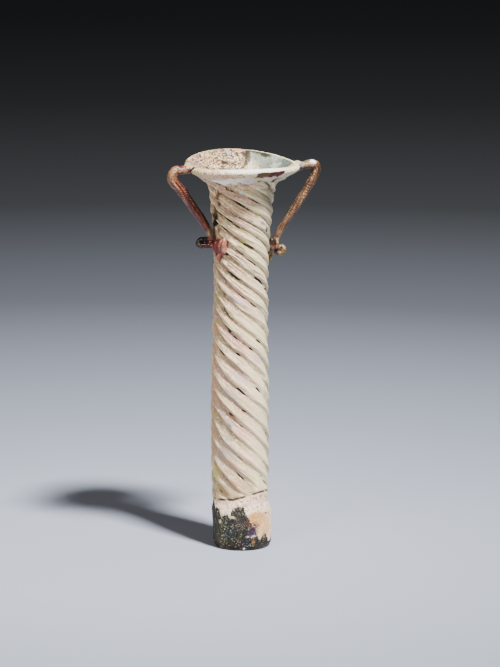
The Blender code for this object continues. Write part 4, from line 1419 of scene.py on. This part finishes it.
def right_route(settings):
    """The right trail from the rim down beside the tube."""
    half = 0.5 * settings.right_thickness
    pad = RIM_LEVEL - RIGHT_SPAN
    tube = outer_radius(pad)
    head = (RIGHT_REACH - 0.1 * half, LIP_LEVEL - 2.1 * half)
    foot = (tube + RIGHT_STANDOFF, pad + 0.70 * RIGHT_PAD_HEIGHT)
    route = [
        (RIM_RADIUS - half, LIP_LEVEL - 0.8 * half, 1.05, 0.0),
        (RIM_RADIUS + 0.4 * (RIGHT_REACH - RIM_RADIUS), LIP_LEVEL - 0.3 * half, 0.95, 0.0),
        (RIGHT_REACH - 0.8 * half, LIP_LEVEL - 0.15 * half, 1.02, 0.0),
        (RIGHT_REACH, LIP_LEVEL - 0.9 * half, 1.03, 0.0),
        (*head, 1.0, 0.0),
    ]
    route += strut(foot, head, ((0.58, 0.52, 0.97), (0.19, 0.17, 0.92)))
    route += [
        (tube + 0.70 * RIGHT_STANDOFF, pad + 0.42 * RIGHT_PAD_HEIGHT, 0.72, 0.0),
        (tube + 0.30 * RIGHT_STANDOFF, pad + 0.15 * RIGHT_PAD_HEIGHT, 0.66, -0.05),
        (tube + 0.10 * RIGHT_STANDOFF, pad - 0.40 * RIGHT_PAD_HEIGHT, 0.50, -0.05),
    ]
    return route


def make_right_meshes(settings):
    """The right handle's trail, its knob on the rim, its pad and the small loop of its knot."""
    pad = RIM_LEVEL - RIGHT_SPAN
    tube = outer_radius(pad)
    loop = []
    for step in range(LOOP_POINTS):
        turn = math.radians(130.0 - 330.0 * step / (LOOP_POINTS - 1))
        out = tube + 0.0038 + 0.0014 * math.cos(turn)
        thick = 1.0 + 0.20 * math.cos(turn)
        loop.append((out, pad - 0.0002 + 0.0010 * math.sin(turn), thick, 0.02))
    angle = handle_angle(1)
    knob = (1.15 * RIGHT_KNOB, 1.1 * RIGHT_KNOB, RIGHT_KNOB)
    return [
        trail_mesh("right_trail", 1, right_route(settings), settings.right_thickness),
        trail_mesh("right_loop", 1, loop, LOOP_THICKNESS),
        lump_mesh(angle, RIM_RADIUS + 0.0004, LIP_LEVEL - 0.0005, knob),
        lump_mesh(angle, tube + 0.0003, pad, (0.0026, 0.0044, RIGHT_PAD_HEIGHT), taper=0.6),
        lump_mesh(angle - 0.22, tube + 0.0006, pad + 0.0022, (0.0022, 0.0022, 0.0046)),
        lump_mesh(angle - 0.08, tube + 0.0024, pad + 0.0022, (0.0018, 0.0015, 0.0040)),
    ]


def brown_glass(name, settings, side):
    """Brown trailed glass with streaks drawn along it, dark hollows, the painted stains and, on the right
    handle, a painted highlight.
    """
    material, w, shader, mm = new_material(name)
    flow = w.attribute("flow", "Vector")
    streaky = w.noise(flow, 1.0, 4.0, 0.6)
    main = settings.red_brown if side < 0 else settings.right_brown
    colour = w.ramp(streaky, (
        (0.38, settings.dark_brown),
        (0.48, main),
        (0.55, main),
        (0.64, settings.tan_brown),
    ))
    mottled = w.noise(mm, 1.1, 4.0, 0.65)
    alpha = w.attribute("stain_and_light", "Alpha")
    patchy = w.plus(mottled, w.times(alpha, 0.5))
    held = w.times(alpha, w.band(patchy, 0.45, 0.75))
    colour = w.blend(held, colour, w.attribute("stain_and_light", "Color"))
    hollow = w.band(w.noise(mm, 1.8, 3.0, 0.6, 0.5), 0.57, 0.70, 0.0, 0.8)
    colour = w.blend(hollow, colour, settings.dark_brown)
    speckle = w.band(w.noise(flow, 2.6, 2.0, 0.5), 0.60, 0.70, 0.0, 0.55)
    colour = w.blend(speckle, colour, settings.tan_brown)
    gloss = w.band(mottled, 0.35, 0.65, 0.22, 0.42)
    shader.inputs["Coat Weight"].default_value = 0.08
    shader.inputs["Coat Roughness"].default_value = 0.15
    shader.inputs["Specular IOR Level"].default_value = 0.38
    heights = (
        (streaky, 0.5, 0.0004),
        (w.noise(mm, 4.0, 4.0, 0.65), 0.35, 0.0002),
    )
    finish_surface(w, shader, colour, gloss, heights)
    return material


def number_setting(name, description, default, low=0.0, high=1.0, **extra):
    """A number setting with its range."""
    return FloatProperty(name=name, description=description, default=default, min=low, max=high, **extra)


def length_setting(name, description, default, low, high):
    """A length setting in metres."""
    return number_setting(name, description, default, low, high, unit="LENGTH", precision=5)


def angle_setting(name, description, degrees):
    """An angle setting with its default in degrees."""
    return number_setting(name, description, math.radians(degrees), 0.0, 0.5 * math.pi, unit="ROTATION")


def colour_setting(name, description, *screen_values):
    """A colour setting with its default given in 0 to 255 screen values."""
    colour = {"subtype": "COLOR", "size": 3, "default": paint(*screen_values)}
    return FloatVectorProperty(name=name, description=description, min=0.0, max=1.0, **colour)


class FlaskBodySettings(bpy.types.PropertyGroup):
    """Sizes and colours of the ribbed glass."""

    rib_count: IntProperty(name="Rib Count", description="Ribs round the tube", default=9, min=3, max=24)
    rib_depth: length_setting("Rib Depth", "From a rib's crest to its groove", 0.00100, 0.0, 0.002)
    crest_place: number_setting("Crest Place", "Where a crest lies between its grooves", 0.30, 0.1, 0.9)
    rib_roundness: number_setting("Rib Roundness", "Higher values give rounder crests", 1.15, 0.5, 3.0)
    unevenness: number_setting("Unevenness", "How much the ribs' depth varies", 0.55, subtype="FACTOR")
    drift: angle_setting("Rib Drift", "How far ribs stray round the tube", 16.0)
    wander: number_setting("Wander", "How far the grooves stray, as a share of a rib", 0.75, 0.0, 2.0)
    streak_depth: length_setting("Streak Depth", "Depth of the breaks in the grooves", 0.00028, 0.0, 0.001)
    crust_depth: length_setting("Crust Depth", "Thickness of the crust on the foot", 0.00030, 0.0, 0.001)
    pit_depth: length_setting("Pit Depth", "Depth of the pits", 0.00030, 0.0, 0.001)
    wrinkle_depth: length_setting("Wrinkle Depth", "Depth of the lines along the ribs", 0.0010, 0.0, 0.002)
    seed: IntProperty(name="Seed", description="Chooses the wear", default=4, min=0)
    pearl_tint: colour_setting("Pearl", "Main tint of the weathered glass", 244, 212, 176)
    cream_tint: colour_setting("Cream", "Warm tint of the weathered glass", 254, 228, 172)
    pink_tint: colour_setting("Pink", "Pink tint of the weathered glass", 238, 176, 154)
    lavender_tint: colour_setting("Lavender", "Violet grey tint of the weathered glass", 186, 152, 166)
    green_tint: colour_setting("Green", "Pale green tint of the weathered glass", 194, 186, 124)
    foot_tan: colour_setting("Foot Tan", "Tan patches of the crust on the foot", 186, 130, 86)
    # Painted shade on the rib faces and the left half, mixed with the crust's dull tan; also the tint of the
    # fine mottling, the stripes and the specks on the foot's crust
    shade_and_mottle_tint: colour_setting("Dull Side", "Tint of the ribs' dull sides", 150, 124, 102)
    # Pale worn crests that double as a painted highlight; also the tint of the glints and of the painted
    # light on the right half
    worn_crest_and_highlight_tint: colour_setting("Crest", "Tint of the ribs' worn crests", 255, 241, 200)
    # Painted shade in the broad valleys low down, with a grey tint
    valley_shade_tint: colour_setting("Valley", "Grey tint of the broad valleys low down", 144, 122, 110)
    groove_tint: colour_setting("Groove", "Dirt in the grooves", 76, 54, 36)
    streak_tint: colour_setting("Streak", "Bare dark glass in the grooves", 18, 12, 9)
    # Painted shadow where the ribs end over the foot, and the etched ring inside the mouth
    waist_shadow_and_ring_tint: colour_setting("Seam", "Dirt where the ribs end over the foot", 58, 40, 26)
    moss_tint: colour_setting("Moss", "Yellow green tint beside the grooves", 150, 136, 62)
    speckle_tint: colour_setting("Speckle", "Brown specks and pits", 104, 84, 60)
    pore_tint: colour_setting("Pores", "Dark pores inside the mouth", 56, 43, 28)
    flake_tint: colour_setting("Flake", "Pale flaky crust on the foot", 255, 234, 208)
    bare_brown: colour_setting("Bare Brown", "Brown bare glass on the foot", 26, 13, 6)
    bare_olive: colour_setting("Bare Olive", "Olive bare glass on the foot", 32, 32, 8)
    bare_teal: colour_setting("Bare Teal", "Teal bare glass on the foot", 14, 30, 26)
    bare_blue: colour_setting("Bare Blue", "Blue black bare glass on the foot", 5, 7, 10)
    bare_violet: colour_setting("Bare Violet", "Violet bare glass on the foot", 52, 36, 42)
    spark_tint: colour_setting("Sparks", "Bright specks on the bare glass", 196, 184, 150)
    # Darker further down inside the mouth and tube
    deep_tint: colour_setting("Deep Inside", "Soil down in the tube", 92, 82, 70)


class TrailSettings(bpy.types.PropertyGroup):
    """Sizes and colours of the two trailed handles."""

    left_thickness: length_setting("Left Thickness", "Thickness of the left trail", 0.0033, 0.001, 0.006)
    right_thickness: length_setting("Right Thickness", "Thickness of the right trail", 0.0030, 0.001, 0.006)
    tan_brown: colour_setting("Tan", "Tan streaks", 152, 116, 84)
    red_brown: colour_setting("Red Brown", "Main brown of the left handle", 76, 28, 19)
    right_brown: colour_setting("Brown", "Main brown of the right handle", 66, 42, 26)
    dark_brown: colour_setting("Dark Brown", "Dark stretches and hollows", 26, 15, 10)


class StageSettings(bpy.types.PropertyGroup):
    """Camera, light and floor."""

    elevation: angle_setting("Elevation", "Camera's angle above the horizon", 12.0)
    distance: length_setting("Distance", "From the camera to the flask", 1.55, 0.3, 10.0)
    lens: number_setting("Lens", "Focal length in millimetres", 244.3, 20.0, 500.0, unit="CAMERA")
    # The floor's colour ramp paints the light's falloff: pale near the flask, darker further away
    floor_tint: colour_setting("Floor", "Pale floor round the flask", 141, 147, 161)
    floor_falloff_edge_tint: colour_setting("Floor Edge", "Floor just behind the flask", 115, 121, 134)
    floor_falloff_mid_tint: colour_setting("Grey Floor", "Floor half a metre away", 74, 77, 85)
    floor_falloff_dark_tint: colour_setting("Dark Floor", "Floor well away from the flask", 45, 47, 50)
    floor_falloff_far_tint: colour_setting("Far Floor", "Floor a metre away", 31, 32, 34)
    floor_falloff_last_tint: colour_setting("Last Floor", "Floor at the edge of the view", 24, 25, 27)
    key_power: number_setting("Key Light", "Power of the main light", 125.0, 0.0, 1000.0, unit="POWER")
    fill_power: number_setting("Fill Light", "Power of the low left light", 27.0, 0.0, 1000.0, unit="POWER")
    room_glow: number_setting("Room Glow", "Strength of the room's own light", 0.09, 0.0, 10.0)


class FLASK_OT_body(bpy.types.Operator):
    """Build the ribbed and weathered glass of the flask"""

    bl_idname = "flask.body"
    bl_label = "Ribbed Body"

    def execute(self, context):
        settings = context.scene.flask_body
        obj = straight_flask(settings)
        modifier = obj.modifiers.new("twisted_ribs", "NODES")
        modifier.node_group = rib_tree()
        values = {name: float(getattr(settings, name.lower().replace(" ", "_"))) for name in RIB_INPUTS}
        set_inputs(modifier, {**values, "Material": body_glass(settings)})
        flask = solidified(obj, "ribbed_flask")
        for vertex in flask.data.vertices:
            angle = math.atan2(vertex.co.y, vertex.co.x)
            vertex.co = placed(math.hypot(vertex.co.x, vertex.co.y), angle, vertex.co.z)
        keep_inside(flask.data, *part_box("flask_body"))
        dress(flask, "flask_body")
        return {"FINISHED"}


def finish_handle(handle, glass, node):
    """Give a handle its glass and put it in the place of its CAD node."""
    handle.data.materials.clear()
    handle.data.materials.append(glass)
    keep_inside(handle.data, *CAD_BOX)
    dress(handle, node)


class FLASK_OT_left_handle(bpy.types.Operator):
    """Build the left handle with its pinched pad and folded tail"""

    bl_idname = "flask.left_handle"
    bl_label = "Left Handle"

    def execute(self, context):
        settings = context.scene.flask_trails
        handle = melted("left_trail_handle", make_left_meshes(settings))
        mark_flow(handle, -1, left_route(settings))
        mark_stains_and_highlight(handle, -1, LEFT_SPOTS)
        waves = (uneven(COARSE_WAVE, 0.00022, 1.0), uneven(FINE_WAVE, 0.00007, 2.0))
        knead(handle, (*waves, left_nicks, left_tail_crease))
        glass = brown_glass("left_trail_glass", settings, -1)
        finish_handle(handle, glass, "handle_left")
        return {"FINISHED"}


class FLASK_OT_right_handle(bpy.types.Operator):
    """Build the right handle with its small looped knot"""

    bl_idname = "flask.right_handle"
    bl_label = "Right Handle"

    def execute(self, context):
        settings = context.scene.flask_trails
        handle = melted("right_trail_handle", make_right_meshes(settings))
        mark_flow(handle, 1, right_route(settings))
        mark_stains_and_highlight(handle, 1, RIGHT_SPOTS_AND_HIGHLIGHT)
        knead(handle, (uneven(COARSE_WAVE, 0.00020, 5.0), uneven(FINE_WAVE, 0.00006, 6.0)))
        glass = brown_glass("right_trail_glass", settings, 1)
        finish_handle(handle, glass, "handle_right")
        return {"FINISHED"}


class FLASK_OT_stage(bpy.types.Operator):
    """Set up the floor, the lights and the camera"""

    bl_idname = "flask.stage"
    bl_label = "Stage"

    def execute(self, context):
        settings = context.scene.flask_stage
        bpy.ops.mesh.primitive_plane_add(size=FLOOR_SIZE)
        floor = context.active_object
        floor.name = "floor"
        floor.data.materials.append(floor_material(settings))
        tilt = settings.elevation
        camera = linked("camera", bpy.data.cameras.new("camera"))
        camera.data.lens = settings.lens
        camera.data.sensor_width = SENSOR_WIDTH_MM
        camera.data.clip_start = 0.01
        camera.location = CAMERA_AIM + settings.distance * Vector((0.0, -math.cos(tilt), math.sin(tilt)))
        camera.rotation_euler = (math.pi / 2 - tilt, 0.0, 0.0)
        context.scene.camera = camera
        area_light("key", KEY_PLACE, KEY_SIZE, settings.key_power, KEY_COLOUR)
        area_light("fill", FILL_PLACE, FILL_SIZE, settings.fill_power, FILL_COLOUR)
        world = bpy.data.worlds.new("soft_room")
        world.use_nodes = True
        background = world.node_tree.nodes["Background"]
        background.inputs["Color"].default_value = ROOM_COLOUR
        background.inputs["Strength"].default_value = settings.room_glow
        context.scene.world = world
        return {"FINISHED"}


def floor_material(settings):
    """Pale matt floor with a painted pool of light: its colour grows darker far from the flask, standing in
    for the light's falloff.
    """
    material, w, shader, mm = new_material("studio_floor")
    away = w.vector("LENGTH", w.vector("SUBTRACT", mm, LIGHT_POOL_MIDDLE_MM))
    far = w.math("DIVIDE", away, LIGHT_POOL_REACH_MM)
    colour = w.ramp(far, (
        (0.05, settings.floor_tint),
        (0.16, settings.floor_falloff_edge_tint),
        (0.30, settings.floor_falloff_mid_tint),
        (0.47, settings.floor_falloff_dark_tint),
        (0.70, settings.floor_falloff_far_tint),
        (0.92, settings.floor_falloff_last_tint),
    ))
    w.put(shader.inputs["Base Color"], colour)
    shader.inputs["Roughness"].default_value = 0.8
    shader.inputs["Specular IOR Level"].default_value = 0.0
    return material


def area_light(name, place, size, power, colour):
    """A square soft light that looks at the flask."""
    data = bpy.data.lights.new(name, "AREA")
    data.size = size
    data.energy = power
    data.color = colour
    light = linked(name, data)
    light.location = place
    light.rotation_euler = (CAMERA_AIM - Vector(place)).to_track_quat("-Z", "Y").to_euler()


class FLASK_PT_panel(bpy.types.Panel):
    """Settings and build buttons of the flask"""

    bl_idname = "FLASK_PT_panel"
    bl_label = "Perfume Flask"
    bl_space_type = "VIEW_3D"
    bl_region_type = "UI"
    bl_category = "Flask"

    def draw(self, context):
        scene = context.scene
        for group, operator in STEPS:
            box = self.layout.box()
            settings = getattr(scene, group)
            for name in settings.bl_rna.properties.keys():
                if name not in ("rna_type", "name"):
                    box.prop(settings, name)
            box.operator(operator)


STEPS = (
    ("flask_body", "flask.body"),
    ("flask_trails", "flask.left_handle"),
    ("flask_trails", "flask.right_handle"),
    ("flask_stage", "flask.stage"),
)
GROUPS = {
    "flask_body": FlaskBodySettings,
    "flask_trails": TrailSettings,
    "flask_stage": StageSettings,
}
CLASSES = (
    FlaskBodySettings,
    TrailSettings,
    StageSettings,
    FLASK_OT_body,
    FLASK_OT_left_handle,
    FLASK_OT_right_handle,
    FLASK_OT_stage,
    FLASK_PT_panel,
)


def register():
    for entry in CLASSES:
        bpy.utils.register_class(entry)
    for name, group in GROUPS.items():
        setattr(bpy.types.Scene, name, PointerProperty(type=group))


def unregister():
    for name in GROUPS:
        delattr(bpy.types.Scene, name)
    for entry in reversed(CLASSES):
        bpy.utils.unregister_class(entry)


def main():
    """Build the pieces and the stage."""
    register()
    bpy.ops.flask.stage()
    bpy.ops.flask.body()
    bpy.ops.flask.left_handle()
    bpy.ops.flask.right_handle()
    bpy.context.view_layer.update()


if __name__ == "__main__":
    main()
